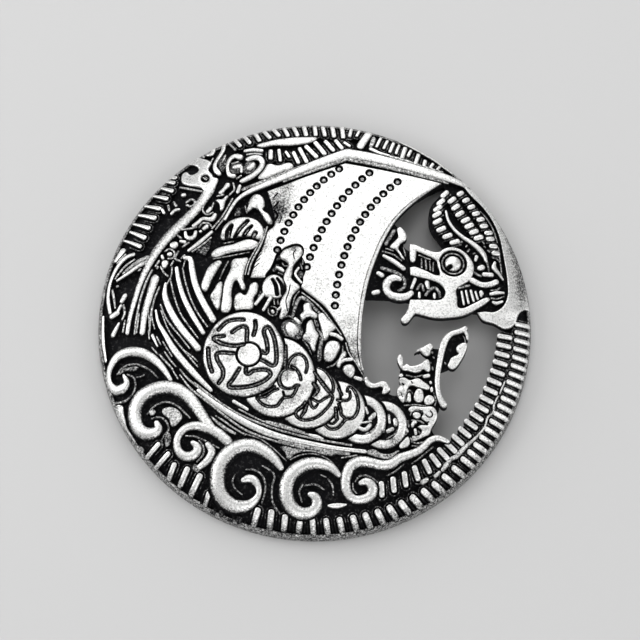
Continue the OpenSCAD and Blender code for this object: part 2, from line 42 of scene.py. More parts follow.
# Everything is laid out in millimetres, with the rim resting on z = 0, and each finished piece is
# brought to metres by finishPiece
mm = 0.001
face = {
    "crown": 5.0,        # height of the relief's tops at the middle
    "domeRadius": 95.0,
    "shoulderAt": 16.5,  # where the face begins to round over
    "shoulderPower": 2.6,
    "rim": 21.0,
    "edge": 1.1,         # height of the plain upright edge
    "relief": 0.9,       # from the tops to the floor
    "plate": 0.9,        # thickness under the floor
    "root": 1.25,        # how deep every raised form reaches, into the plate
    "step": 0.22,        # spacing of points along a line
    "lowest": 0.03,      # the raised forms end just above the underside
    "insideRim": 0.03,   # and just inside the rim
    "cutAside": 0.0013,  # keeps the square cuts off the knots of an outline
}


def domeHeight(x, y):
    radius = np.minimum(np.hypot(x, y), face["rim"])
    cap = face["crown"] - radius * radius / (2 * face["domeRadius"])
    shoulder = np.clip((radius - face["shoulderAt"]) / (face["rim"] - face["shoulderAt"]), 0, 1)
    return cap - (cap - face["edge"]) * (1 - np.sqrt(1 - shoulder ** face["shoulderPower"]))


def activate(piece):
    bpy.ops.object.select_all(action="DESELECT")
    piece.select_set(True)
    bpy.context.view_layer.objects.active = piece
    return piece


def inEditMode(piece):
    activate(piece)
    bpy.ops.object.mode_set(mode="EDIT")
    bpy.ops.mesh.select_all(action="SELECT")


def backToObject():
    bpy.ops.object.mode_set(mode="OBJECT")


# Merges what lies closer than gap, and turns the normals outwards
def closeUp(piece, gap=0.002):
    inEditMode(piece)
    bpy.ops.mesh.remove_doubles(threshold=gap)
    bpy.ops.mesh.normals_make_consistent(inside=False)
    backToObject()


def vertexArray(piece):
    places = np.zeros(len(piece.data.vertices) * 3)
    piece.data.vertices.foreach_get("co", places)
    return places.reshape(-1, 3)


def setVertices(piece, places):
    piece.data.vertices.foreach_set("co", places.reshape(-1))
    piece.data.update()


def joinAll(pieces):
    bpy.ops.object.select_all(action="DESELECT")
    for piece in pieces:
        piece.select_set(True)
    bpy.context.view_layer.objects.active = pieces[0]
    if len(pieces) > 1:
        bpy.ops.object.join()
    return pieces[0]


def throwAway(piece):
    activate(piece)
    bpy.ops.object.delete()


# A line through the given knots, each x, y and a third value: a width, or 0 for a corner of an outline
def curveThrough(knots, closed=False):
    rows = [np.array((*knot, 1.0) if len(knot) < 3 else knot, float) for knot in knots]
    count = len(rows)
    points = []
    for i in range(count if closed else count - 1):
        here, there = rows[i], rows[(i + 1) % count]
        before = rows[i - 1] if closed or i else here
        after = rows[(i + 2) % count] if closed or i + 2 < count else there
        span = there - here
        size = math.hypot(span[0], span[1])
        leave, reach = span, span
        if not (closed and here[2] == 0):
            leave = (there - before) * size / max(1e-6, math.hypot(*(there - before)[:2]))
        if not (closed and there[2] == 0):
            reach = (after - here) * size / max(1e-6, math.hypot(*(after - here)[:2]))
        steps = max(1, math.ceil(size / face["step"]))
        for t in np.arange(steps) / steps:
            point = (here * (1 - 3 * t * t + 2 * t ** 3) + there * (3 * t * t - 2 * t ** 3)
                     + leave * (t - 2 * t * t + t ** 3) + reach * (t ** 3 - t * t))
            point[2] = here[2] + span[2] * t
            points.append(point)
    if not closed:
        points.append(rows[-1])
    return np.array(points)


stroke = {
    # across a line, from -1 to 1: down the side, over the rounded top, and down the other side
    "across": [-1, -1, -0.92, -0.71, -0.38, 0, 0.38, 0.71, 0.92, 1, 1],
    "feet": (0, 10),
    "footDrop": 0.4,
    "capTurns": (30, 55, 78),  # degrees round each end
    "carry": 100,              # the full half width rides along as a height this many times smaller
    "cutAbove": 1.0,           # how far an engraving tool stands above the metal
}


# Adds the rounded ends: x, y, full half width there, and the half width drawn
def strokePath(knots, wider=0.0, square=1.0):
    path = curveThrough(knots)
    half = path[:, 2] / 2 + wider / 2
    middle = [(x, y, size, size) for (x, y, _), size in zip(path, half)]
    ends = []
    for end, inner in ((0, 1), (-1, -2)):
        away = path[end][:2] - path[inner][:2]
        away /= max(1e-6, math.hypot(*away))
        turns = [math.radians(angle) for angle in stroke["capTurns"]]
        ends.append([(*(path[end][:2] + away * half[end] * math.sin(turn) ** square), half[end],
                      half[end] * math.cos(turn) ** square) for turn in turns])
    return ends[0][::-1] + middle + ends[1]


def newCurve(name, dimensions):
    bpy.ops.curve.primitive_nurbs_path_add()
    curve = bpy.context.object
    curve.name = name
    curve.data.dimensions = dimensions
    curve.data.splines.clear()
    return curve


def addSpline(curve, points, radii=None, closed=False):
    spline = curve.data.splines.new("POLY")
    spline.points.add(len(points) - 1)
    for i, point in enumerate(points):
        spline.points[i].co = (*point, 1)
        if radii is not None:
            spline.points[i].radius = radii[i]
    spline.use_cyclic_u = closed


# Raised lines, rounded across, in one mesh. With cut, they are the tools that engrave such lines
def drawLines(name, rows, sink=0.0, roundness=0.8, power=2.0, wider=0.0, square=1.0, cut=None):
    across, feet, carry = stroke["across"], stroke["feet"], stroke["carry"]
    section = newCurve(name + "Section", "2D")
    drops = [stroke["footDrop"] if i in feet else 0 for i in range(len(across))]
    addSpline(section, [(u, -(u * u) - drop, 0) for u, drop in zip(across, drops)], closed=True)
    lines = newCurve(name, "3D")
    lines.data.twist_mode = "Z_UP"
    lines.data.bevel_mode = "OBJECT"
    lines.data.bevel_object = section
    lines.data.use_fill_caps = True
    for row in rows:
        path = strokePath(row, wider, square)
        addSpline(lines, [(x, y, full / carry) for x, y, full, _ in path], [half for *_, half in path])
    activate(lines)
    bpy.ops.object.convert(target="MESH")
    places = vertexArray(lines).reshape(-1, len(across), 3)
    full = places[:, len(across) // 2, 2] * carry
    widest = np.maximum(full, 1e-6)
    half = np.hypot(*(places[:, 0, :2] - places[:, -1, :2]).T) / 2
    for i, u in enumerate(across):
        bow = (1 - abs(u) ** power) ** (1 / power)
        if cut is not None:
            places[:, i, 2] = stroke["cutAbove"] if i in feet else -cut * bow * half / widest
        else:
            places[:, i, 2] = -face["root"] + sink if i in feet else -roundness * (full - half * bow)
    setVertices(lines, places)
    throwAway(section)
    closeUp(lines)
    drape(lines, sink)
    return lines


# Flat forms with rounded edges, from closed outlines, with round or drawn holes in them
def fillOutlines(name, outlines, holes=(), edge=0.15, grid=1.0, sink=0.0, deep=None, grow=0.0):
    deep = deep or face["root"]
    form = newCurve(name, "2D")
    form.data.fill_mode = "BOTH"
    form.data.bevel_depth = edge
    form.data.bevel_resolution = 2
    form.data.offset = grow - edge
    form.data.extrude = deep / 2 - edge
    for outline in outlines:
        addSpline(form, [(x, y, 0) for x, y, _ in curveThrough(outline, closed=True)], closed=True)
    for hole in holes:
        addSpline(form, hole, closed=True)
    activate(form)
    bpy.ops.object.convert(target="MESH")
    places = vertexArray(form)
    places[:, 2] -= deep / 2
    setVertices(form, places)
    closeUp(form)
    cutGrid(form, grid)
    drape(form, sink)
    return form


# Cuts a form through in squares, so that it can follow the dome
def cutGrid(piece, step):
    places = vertexArray(piece)
    inEditMode(piece)
    for axis in (0, 1):
        low, high = places[:, axis].min(), places[:, axis].max()
        normal = (1, 0, 0) if axis == 0 else (0, 1, 0)
        for place in np.arange(math.ceil(low / step) * step, high, step) + face["cutAside"]:
            bpy.ops.mesh.select_all(action="SELECT")
            bpy.ops.mesh.bisect(plane_co=(place, place, 0), plane_no=normal)
    backToObject()


# Lays a flat form on the dome
def drape(piece, sink=0.0):
    places = vertexArray(piece)
    radius = np.hypot(places[:, 0], places[:, 1])
    limit = face["rim"] - face["insideRim"]
    places[:, :2] *= np.where(radius > limit, limit / np.maximum(radius, 1e-6), 1)[:, None]
    places[:, 2] += domeHeight(places[:, 0], places[:, 1]) - sink
    setVertices(piece, places)


def combine(piece, tool, operation):
    activate(piece)
    change = piece.modifiers.new("combine", "BOOLEAN")
    change.operation = operation
    change.solver = "MANIFOLD"
    change.object = tool
    bpy.ops.object.modifier_apply(modifier=change.name)
    throwAway(tool)


def carve(piece, tool):
    combine(piece, tool, "DIFFERENCE")


# A round form built ring by ring, each ring a radius and a height, from the middle of the underside
def ringForm(name, rings, sides):
    radius, height = rings[0]
    place = (0, 0, height)
    bpy.ops.mesh.primitive_circle_add(vertices=sides, radius=radius, fill_type="TRIFAN", location=place)
    form = bpy.context.object
    form.name = name
    bpy.ops.object.transform_apply(location=True)
    bpy.ops.object.mode_set(mode="EDIT")
    bpy.ops.mesh.select_all(action="SELECT")
    bpy.ops.mesh.region_to_loop()
    for nextRadius, nextHeight in rings[1:]:
        rise = (0, 0, nextHeight - height)
        bpy.ops.mesh.extrude_edges_move(TRANSFORM_OT_translate={"value": rise})
        size = nextRadius / radius
        bpy.ops.transform.resize(value=(size, size, 1), center_override=(0, 0, nextHeight))
        radius, height = nextRadius, nextHeight
    bpy.ops.mesh.edge_face_add()
    bpy.ops.mesh.poke()
    backToObject()
    closeUp(form, 0.0005)
    return form


def circlePoints(centre, radius, sides):
    return [(centre[0] + radius * math.cos(math.tau * i / sides),
             centre[1] + radius * math.sin(math.tau * i / sides), 0) for i in range(sides)]


# A circle as two lines of one width
def circleLines(centre, radius, width, sides):
    ring = [(centre[0] + radius * math.cos(turn), centre[1] + radius * math.sin(turn), width)
            for turn in np.linspace(0, math.tau, sides + 1)]
    return [ring[:sides // 2 + 1], ring[sides // 2:]]


# A straight line round its middle, at an angle in radians
def straightLine(x, y, way, reach, width):
    dx, dy = math.cos(way), math.sin(way)
    return [(x - reach * dx, y - reach * dy, width), (x + reach * dx, y + reach * dy, width)]


# Copies of one small form at all the given places, joined and laid on the dome
def copyAll(form, centres):
    copies = []
    for x, y in centres:
        activate(form)
        bpy.ops.object.duplicate()
        copy = bpy.context.object
        setVertices(copy, vertexArray(copy) + (x, y, 0))
        copies.append(copy)
    throwAway(form)
    copies = joinAll(copies)
    drape(copies)
    return copies


# Moves every side of an upright form outwards
def fatten(piece, amount):
    inEditMode(piece)
    bpy.ops.transform.shrink_fatten(value=amount)
    backToObject()


# Dips, partly painted shade on the shaded sides of forms and partly wear and casting dips: x, y, reach
# and depth of each; the finish paints the lowered metal grey
def dip(piece, dips):
    places = vertexArray(piece)
    for x, y, reach, depth in dips:
        away = np.hypot(places[:, 0] - x, places[:, 1] - y) / reach
        places[:, 2] -= depth * np.exp(-away * away)
    setVertices(piece, places)


# Painted shade: where the metal is painted grey whatever its depth, on the rim's sloping top and upright
# wall, on the outer ends of the lower ribs and on the faces turned down: radii, and the depths that the
# finish takes it for
paintedShade = {
    "rimFrom": 20.64,
    "rim": 0.225,
    "ribEndsFrom": 19.7,
    "ribEndsOver": 0.7,
    "ribEnds": 0.2,
    "under": 0.2,
    "facingDown": -0.1,
}


# Gives a finished piece its name, finish and place in the frame
def finishPiece(piece, name, smoothAngle):
    activate(piece)
    piece.name = name
    piece.data.name = name
    places = vertexArray(piece)
    sunk = domeHeight(places[:, 0], places[:, 1]) - places[:, 2]
    radius = np.hypot(places[:, 0], places[:, 1])
    if name != "plate":
        places[:, 2] = np.maximum(places[:, 2], face["lowest"])
        setVertices(piece, places)
    else:
        # painted shade: the faces turned down and the rim are painted grey, whatever their depth
        normals = np.zeros(len(places) * 3)
        piece.data.vertices.foreach_get("normal", normals)
        sunk = np.where(normals[2::3] < paintedShade["facingDown"], paintedShade["under"], sunk)
        sunk = np.where(radius > paintedShade["rimFrom"], paintedShade["rim"], sunk)
    # painted shade: the outer ends of the lower ribs, where the shoulder slopes down, are painted greyer
    if name == "border":
        low = np.clip(-places[:, 1] / face["rim"], 0, 1)
        out = np.clip((radius - paintedShade["ribEndsFrom"]) / paintedShade["ribEndsOver"], 0, 1)
        sunk += paintedShade["ribEnds"] * low * out
    # the depth below the tops, with the painted shade added to it, which the finish turns towards black
    stored = piece.data.attributes.new("sunk", "FLOAT", "POINT")
    stored.data.foreach_set("value", sunk)
    bpy.ops.object.shade_smooth_by_angle(angle=math.radians(smoothAngle))
    evened = piece.modifiers.new("evened", "WEIGHTED_NORMAL")
    evened.keep_sharp = True
    bpy.ops.object.modifier_apply(modifier=evened.name)
    bpy.ops.transform.resize(value=(mm, mm, mm), center_override=(0, 0, 0))
    bpy.ops.object.transform_apply(location=True, rotation=True, scale=True)
    piece.data.materials.clear()
    piece.data.materials.append(silver)
    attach(piece, "root")
    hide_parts("brooch_casting")
    triangles = sum(len(polygon.vertices) - 2 for polygon in piece.data.polygons)
    print(name, "made,", triangles, "triangles")


# Finishes

def addNode(tree, kind, **inputs):
    node = tree.nodes.new(kind)
    for socket, value in inputs.items():
        node.inputs[socket].default_value = value
    return node


# A material with its surface shader in place
def newMaterial(name, **inputs):
    material = bpy.data.materials.new(name)
    material.use_nodes = True
    tree = material.node_tree
    tree.nodes.clear()
    surface = addNode(tree, "ShaderNodeBsdfPrincipled", **inputs)
    out = tree.nodes.new("ShaderNodeOutputMaterial")
    tree.links.new(surface.outputs["BSDF"], out.inputs["Surface"])
    return material, tree, surface


def addNoise(tree, coordinates, scale, detail, roughness):
    noise = addNode(tree, "ShaderNodeTexNoise", Scale=scale, Detail=detail, Roughness=roughness)
    tree.links.new(coordinates, noise.inputs["Vector"])
    return noise.outputs["Fac"]


# Sets a shader's input to run from low to high as a mask goes from 0 to 1
def runBetween(tree, mask, low, high, socket):
    ranged = tree.nodes.new("ShaderNodeMapRange")
    ranged.inputs["To Min"].default_value = low
    ranged.inputs["To Max"].default_value = high
    tree.links.new(mask, ranged.inputs["Value"])
    tree.links.new(ranged.outputs["Result"], socket)


def addBump(tree, height, strength, distance, socket):
    bump = addNode(tree, "ShaderNodeBump", Strength=strength, Distance=distance)
    tree.links.new(height, bump.inputs["Height"])
    tree.links.new(bump.outputs["Normal"], socket)


def calculate(tree, operation, a, b, clamp=False):
    node = tree.nodes.new("ShaderNodeMath")
    node.operation = operation
    node.use_clamp = clamp
    for socket, value in enumerate((a, b)):
        if isinstance(value, (int, float)):
            node.inputs[socket].default_value = value
        else:
            tree.links.new(value, node.inputs[socket])
    return node.outputs[0]


patina = {
    # scale, detail and roughness of each noise
    "blotches": (5600, 4, 0.65),
    "pits": (5400, 3, 0.7),
    "specks": (3400, 3, 0.7),
    "blotchMiddle": 0.5,
    "blotchReach": 4,
    # how high its noise must be for a pit or a speck, and how sharply it begins there
    "pitEdge": (0.5, 8),
    "speckEdge": (0.52, 7),
}


# How black the metal is: 0 on the polished tops, 1 in the recesses, with a ragged edge between; the
# depths it reads also carry painted shade
def makePatinaGroup():
    group = bpy.data.node_groups.new("patina", "ShaderNodeTree")
    for name in ("Sunk", "Clean to", "Black from", "Ragged", "Pits", "Specks", "Spread"):
        group.interface.new_socket(name=name, in_out="INPUT", socket_type="NodeSocketFloat")
    group.interface.new_socket(name="Coordinates", in_out="INPUT", socket_type="NodeSocketVector")
    group.interface.new_socket(name="Black", in_out="OUTPUT", socket_type="NodeSocketFloat")
    given = group.nodes.new("NodeGroupInput").outputs
    out = group.nodes.new("NodeGroupOutput")

    def spots(noise, edge, share):
        start, sharpness = patina[edge]
        high = addNoise(group, given["Coordinates"], *patina[noise])
        high = calculate(group, "SUBTRACT", high, start, clamp=True)
        high = calculate(group, "MULTIPLY", high, sharpness, clamp=True)
        return calculate(group, "MULTIPLY", high, given[share])

    blotches = addNoise(group, given["Coordinates"], *patina["blotches"])
    shift = calculate(group, "SUBTRACT", blotches, patina["blotchMiddle"])
    shift = calculate(group, "MULTIPLY", shift, given["Ragged"])
    shift = calculate(group, "MULTIPLY", shift, patina["blotchReach"])
    depth = calculate(group, "ADD", given["Sunk"], shift)
    past = calculate(group, "SUBTRACT", depth, given["Clean to"])
    span = calculate(group, "SUBTRACT", given["Black from"], given["Clean to"])
    black = calculate(group, "DIVIDE", past, span, clamp=True)
    black = calculate(group, "MAXIMUM", black, spots("pits", "pitEdge", "Pits"))
    black = calculate(group, "SUBTRACT", black, spots("specks", "speckEdge", "Specks"), clamp=True)
    left = calculate(group, "POWER", calculate(group, "SUBTRACT", 1, black), given["Spread"])
    group.links.new(calculate(group, "SUBTRACT", 1, left, clamp=True), out.inputs["Black"])
    return group


silverLook = {
    "polished": (0.80, 0.80, 0.79, 1),
    "blackened": (0.006, 0.006, 0.007, 1),
    "patina": {"Clean to": 0.05, "Black from": 0.33, "Ragged": 0.19, "Pits": 0.3, "Specks": 0.16,
               "Spread": 1.7},
    # polished and blackened
    "roughness": (0.4, 0.75),
    "metallic": (1, 0),
    "specular": 0.05,
    "grain": (9000, 3, 0.6),
    "grainStrength": 0.8,
    "grainHeight": 0.000016,
}


def makeSilver():
    material, tree, metal = newMaterial("antiqueSilver")
    metal.inputs["Specular IOR Level"].default_value = silverLook["specular"]
    sunk = tree.nodes.new("ShaderNodeAttribute")
    sunk.attribute_name = "sunk"
    coordinates = tree.nodes.new("ShaderNodeTexCoord").outputs["Object"]
    group = tree.nodes.new("ShaderNodeGroup")
    group.node_tree = makePatinaGroup()
    tree.links.new(sunk.outputs["Fac"], group.inputs["Sunk"])
    tree.links.new(coordinates, group.inputs["Coordinates"])
    for socket, value in silverLook["patina"].items():
        group.inputs[socket].default_value = value
    black = group.outputs["Black"]
    colour = tree.nodes.new("ShaderNodeMix")
    colour.data_type = "RGBA"
    colour.inputs["A"].default_value = silverLook["polished"]
    colour.inputs["B"].default_value = silverLook["blackened"]
    tree.links.new(black, colour.inputs["Factor"])
    tree.links.new(colour.outputs["Result"], metal.inputs["Base Color"])
    runBetween(tree, black, *silverLook["roughness"], metal.inputs["Roughness"])
    runBetween(tree, black, *silverLook["metallic"], metal.inputs["Metallic"])
    grain = addNoise(tree, coordinates, *silverLook["grain"])
    addBump(tree, grain, silverLook["grainStrength"], silverLook["grainHeight"], metal.inputs["Normal"])
    return material


steelLook = {
    "colour": (0.62, 0.62, 0.61, 1),
    "stretch": (300, 9000, 9000),  # the drawing lines run along the wire
    "lines": (1, 3, 0.5),
    "roughness": (0.22, 0.42),
    "lineStrength": 0.4,
    "lineHeight": 0.00001,
}


def makePinSteel():
    material, tree, metal = newMaterial("pinSteel", Metallic=1)
    metal.inputs["Base Color"].default_value = steelLook["colour"]
    along = addNode(tree, "ShaderNodeMapping", Scale=steelLook["stretch"])
    tree.links.new(tree.nodes.new("ShaderNodeTexCoord").outputs["Object"], along.inputs["Vector"])
    lines = addNoise(tree, along.outputs["Vector"], *steelLook["lines"])
    runBetween(tree, lines, *steelLook["roughness"], metal.inputs["Roughness"])
    addBump(tree, lines, steelLook["lineStrength"], steelLook["lineHeight"], metal.inputs["Normal"])
    return material


silver = makeSilver()
steel = makePinSteel()
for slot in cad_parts["pin_back"].material_slots:
    slot.material = steel
print("finishes made")

# Plate: floor, rim and hollow back, with the two through gaps
plate = {
    "sides": 192,
    "gaps": [
        [(12.6, 14.2, 0), (9.6, 12.2), (7.8, 10.2), (8.3, 9.2), (9, 7.2), (12, 6.8), (12.5, 7.4),
         (11.3, 9.4), (11.1, 10.8), (11.4, 12), (12.8, 13.9)],
        [(4.2, 2.2, 0), (9.2, 1.9), (10, 0.8), (15.5, 1.1), (16.5, 0.6), (18.4, -0.3), (17.8, -2.3),
         (16.7, -5.8), (15, -9.2), (13.1, -11.7), (12.2, -11.8), (11.2, -10.6), (12, -8.3), (11.7, -5.4),
         (13.2, -4.4), (14.4, -2.6), (14.1, -1.2), (12.7, -1.75), (12.3, -2.7), (10.8, -2.9),
         (10.6, -4.5), (8.4, -4.6), (8, -7.4), (6, -6.6), (4.5, -6, 0)],
    ],
    "gapCut": 6,
    # where the underside and the floor follow the dome, and radius and height of the rings between
    "underRadii": (0.5, 3, 6, 9, 12, 14.5, 16, 17.3),
    "hollowEdge": [(18.4, 1.35), (19.1, 0.85), (19.2, 0.7), (19.2, 0.08), (19.28, 0)],
    "rim": [
        (20.85, 0), (20.95, 0.04), (21, 0.14), (21, 0.86), (20.98, 1.02), (20.93, 1.18), (20.84, 1.33),
        (20.74, 1.42), (20.66, 1.4), (20.62, 1.3), (20.6, 1.12),
    ],
    "floorRadii": (20.5, 20.3, 20, 19.5, 19, 18, 17, 16, 14, 12, 9, 6, 3, 0.5),
    "padAt": (13.0, 4.8),
    "padSize": (2.2, 3.0, 0.75),
    "padUnder": 1.85,
    "padEdge": 0.15,
}


def floorHeight(radius):
    return max(face["edge"], float(domeHeight(radius, 0)) - face["relief"])


def makePlate():
    under = [(radius, float(domeHeight(radius, 0)) - face["relief"] - face["plate"])
             for radius in plate["underRadii"]]
    floor = [(radius, floorHeight(radius)) for radius in plate["floorRadii"]]
    form = ringForm("plate", under + plate["hollowEdge"] + plate["rim"] + floor, plate["sides"])
    for gap in plate["gaps"]:
        tool = newCurve("gap", "2D")
        tool.data.fill_mode = "BOTH"
        tool.data.extrude = plate["gapCut"]
        addSpline(tool, [(x, y, 0) for x, y, _ in curveThrough(gap, closed=True)], closed=True)
        activate(tool)
        bpy.ops.object.convert(target="MESH")
        closeUp(tool)
        carve(form, tool)
    pads = []
    for side in (-1, 1):
        place = (side * plate["padAt"][0], plate["padAt"][1], plate["padUnder"] + plate["padSize"][2] / 2)
        bpy.ops.mesh.primitive_cube_add(size=1, location=place, scale=plate["padSize"])
        pad = bpy.context.object
        bpy.ops.object.transform_apply()
        inEditMode(pad)
        bpy.ops.mesh.bevel(offset=plate["padEdge"], segments=3, affect="EDGES")
        backToObject()
        pads.append(pad)
    return joinAll([form] + pads)


# Scroll waves under the hull
waves = {
    "tubes": [
        [(-13.8, -5.9, 0.35), (-14.6, -4.7, 0.62), (-15.65, -3.65, 0.88), (-16.8, -3.05, 1.02),
         (-18, -2.95, 1.02), (-19, -3.3, 0.88), (-19.65, -4.15, 0.62), (-19.85, -5.1, 0.46),
         (-19.65, -5.95, 0.55), (-19.1, -6.5, 0.95), (-18.4, -6.4, 1.05), (-18.05, -5.95, 0.62),
         (-18.35, -5.25, 0.25)],
        [(-9.3, -11.3, 0.6), (-10.3, -10.1, 1), (-11.1, -8.9, 1.2), (-11.9, -7.8, 1.35),
         (-12.7, -7.1, 1.4), (-13.7, -6.65, 1.45), (-14.8, -6.6, 1.5), (-15.9, -6.95, 1.55),
         (-16.7, -7.5, 1.6), (-17.2, -8.4, 1.6), (-17.25, -9.3, 1.55), (-16.95, -10.25, 1.45),
         (-16.3, -10.85, 1.3), (-15.5, -10.95, 1.2), (-14.95, -10.65, 0.95), (-15.1, -10.05, 0.5)],
        [(-8.3, -12, 1), (-9.3, -11.15, 1.05), (-10.4, -10.65, 1), (-11.4, -10.45, 0.85),
         (-12.3, -10.65, 0.75), (-12.95, -11.3, 0.7), (-13.15, -12.1, 0.7), (-12.9, -12.9, 0.8),
         (-12.35, -13.3, 0.9), (-11.7, -13.3, 1), (-11.2, -12.9, 0.95), (-11.2, -12.45, 0.8),
         (-11.6, -12.1, 0.45)],
        [(-10.2, -12.3, 0.45), (-9.8, -12.9, 0.75), (-10.05, -13.6, 0.72), (-10.55, -14.1, 0.65),
         (-10.95, -14.4, 0.5)],
        [(-3.2, -14.6, 0.6), (-3.8, -13.8, 0.95), (-4.6, -13.1, 1.25), (-5.6, -12.55, 1.45),
         (-6.4, -12.4, 1.5), (-7.5, -12.65, 1.6), (-8.5, -13.4, 1.7), (-9.1, -14.4, 1.75),
         (-9.25, -15.5, 1.75), (-9.15, -16.5, 1.7), (-8.65, -17.35, 1.6), (-7.75, -18, 1.4),
         (-6.65, -18.1, 1.15), (-5.8, -17.75, 0.8), (-5.3, -17.05, 0.5), (-5.35, -16.35, 0.6),
         (-5.75, -15.75, 0.85), (-6.3, -15.6, 0.8), (-6.75, -15.75, 0.5)],
        [(2.3, -15.3, 0.5), (1.6, -14.6, 0.9), (0.6, -14.25, 1.15), (-0.4, -14.2, 1.35),
         (-1.3, -14.5, 1.5), (-2.1, -15.1, 1.6), (-2.6, -16, 1.65), (-2.7, -17.05, 1.6),
         (-2.35, -18.05, 1.5), (-1.65, -18.7, 1.35), (-0.8, -18.85, 1.2), (-0.05, -18.55, 1.15),
         (0.25, -17.95, 1.1), (0.05, -17.35, 0.9), (-0.4, -17.15, 0.5)],
        [(12.7, -11.95, 0.4), (11.75, -11.65, 0.55), (11, -11.9, 0.6), (10.5, -12.4, 0.65),
         (9.9, -12.9, 0.7), (9, -13.3, 0.8), (8.05, -13.65, 0.9), (7.3, -14.2, 1), (6.3, -14.3, 1),
         (5.35, -14.1, 1.05), (4.4, -14, 1.15), (3.6, -14.3, 1.15), (3.1, -15.1, 1.1), (2.95, -16.05, 1),
         (3.15, -17, 0.9), (3.8, -17.55, 0.8), (4.55, -17.55, 0.85), (5.3, -17.2, 1), (5.55, -16.6, 1.05),
         (5.3, -16.1, 0.95), (4.85, -15.9, 0.75), (4.4, -16.05, 0.45)],
        [(1.35, -18.2, 0.2), (1.7, -18.2, 0.42), (2.2, -18.18, 0.5), (2.6, -18.15, 0.34),
         (3, -18.1, 0.12)],
    ],
    "threads": [
        [(-19, -5, 0.14), (-18.4, -4.4, 0.18), (-17.45, -4.2, 0.2), (-16.4, -4.5, 0.2),
         (-15.5, -5.15, 0.18), (-15.05, -5.65, 0.14)],
        [(-18, -5.15, 0.14), (-17.4, -5.5, 0.18), (-17.2, -6.2, 0.2), (-17.35, -6.9, 0.18),
         (-17.8, -7.45, 0.2), (-18.4, -7.72, 0.26), (-19.1, -7.7, 0.28)],
        [(-17.05, -5.5, 0.1), (-16.7, -5.48, 0.14), (-16.4, -5.3, 0.18)],
        [(-16, -9.1, 0.14), (-15.3, -8.4, 0.18), (-14.2, -8.05, 0.2), (-13.1, -8.5, 0.2),
         (-11.9, -9.7, 0.14)],
        [(-15.6, -9.6, 0.14), (-14.85, -9.5, 0.18), (-14.2, -9.9, 0.2), (-13.95, -10.65, 0.18),
         (-14.25, -11.6, 0.14)],
        [(-12.3, -11.4, 0.12), (-11.35, -11.5, 0.18), (-10.5, -11.9, 0.18), (-9.1, -12.65, 0.12)],
        [(-11, -11.9, 0.14), (-10.6, -12.5, 0.2), (-10.6, -13.2, 0.2), (-11.2, -13.9, 0.14)],
        [(-14.6, -12.2, 0.12), (-14.5, -11.5, 0.14), (-14.05, -10.9, 0.14)],
        [(-7.55, -15.2, 0.12), (-7.8, -15.8, 0.16), (-7.55, -16.5, 0.16), (-6.9, -17.05, 0.12)],
        [(-6.5, -14.75, 0.12), (-5.7, -14.8, 0.18), (-5, -15.3, 0.2), (-4.7, -16, 0.2),
         (-4.7, -16.85, 0.18), (-5, -17.9, 0.14)],
        [(-5, -14.4, 0.12), (-4.3, -14.8, 0.18), (-3.8, -15.35, 0.2), (-4, -16.25, 0.18),
         (-4.05, -17.05, 0.18), (-3.95, -17.85, 0.18), (-3.3, -18.85, 0.14)],
        [(-0.9, -16.3, 0.14), (0.1, -16.2, 0.2), (0.9, -16.7, 0.14)],
        [(-1.1, -16.2, 0.14), (-1.45, -16.9, 0.18), (-1.2, -17.8, 0.14)],
        [(1.3, -15.7, 0.14), (1.7, -16.3, 0.2), (1.8, -17.2, 0.14)],
        [(0.6, -15.3, 0.12), (1.1, -15.5, 0.14)],
        [(3.9, -15.9, 0.14), (4.3, -15.4, 0.18), (5, -15.35, 0.2), (5.6, -15.65, 0.18),
         (6.05, -16, 0.14)], [(3.65, -16.1, 0.12), (3.7, -16.7, 0.16), (4, -17, 0.12)],
        [(6.9, -15.3, 0.12), (7.6, -14.95, 0.16), (8.5, -14.2, 0.12)],
        [(9.3, -14.1, 0.12), (10, -13.6, 0.14), (10.8, -12.9, 0.14), (11.3, -12.5, 0.12)],
        [(-2.3, -13.85, 0.1), (-1.4, -13.45, 0.12), (-0.3, -13.3, 0.13), (0.8, -13.55, 0.13),
         (1.8, -14.2, 0.1)],
        [(-7, -11.25, 0.1), (-5.2, -11.85, 0.12), (-3.9, -12.8, 0.12), (-2.7, -13.95, 0.1)],
    ],
    # lighter ground in the hollows of the first two scrolls, and small rough bits beside them
    "patches": [
        [(-14.5, -8.75), (-13.5, -8.65), (-12.65, -9.5), (-13.1, -10.25), (-13.6, -10.45), (-13.9, -9.75),
         (-14.5, -9.2)],
        [(-18.95, -5.05), (-18.5, -4.6), (-17.5, -4.4), (-16.9, -4.55), (-17.3, -4.85), (-18.2, -4.8)],
        [(-19.1, -8), (-18.45, -8.1), (-18.3, -8.9), (-18.1, -9.9), (-18.5, -10), (-19, -9)],
        [(-15.85, -8.9), (-15.5, -8.7), (-15.2, -9), (-15.6, -9.3)],
        [(-14.2, -11), (-13.75, -11.2), (-13.8, -12.1), (-14.2, -12.3)],
        [(-17.2, -12), (-16.3, -12.3), (-16.6, -12.7)],
        [(-11.4, -14.1), (-10.9, -14.6), (-11.2, -14.9), (-11.6, -14.5)],
    ],
    "patchSink": 0.13,
    "patchDips": [
        (-17.6, -4.7, 1.2, 0.14), (-14, -11.6, 0.6, 0.14), (-16.7, -12.3, 0.4, 0.12),
        (-11.3, -14.5, 0.4, 0.14),
    ],
    "threadSink": 0.22,
    "clearance": 0.16,
}


def makeWaves():
    tubes = drawLines("waves", waves["tubes"], roundness=0.92, power=2.1)
    threads = drawLines("waveThreads", waves["threads"], sink=waves["threadSink"])
    patches = fillOutlines("wavePatches", waves["patches"], edge=0.1, grid=0.5, sink=waves["patchSink"])
    dip(patches, waves["patchDips"])
    return joinAll([tubes, threads, patches])


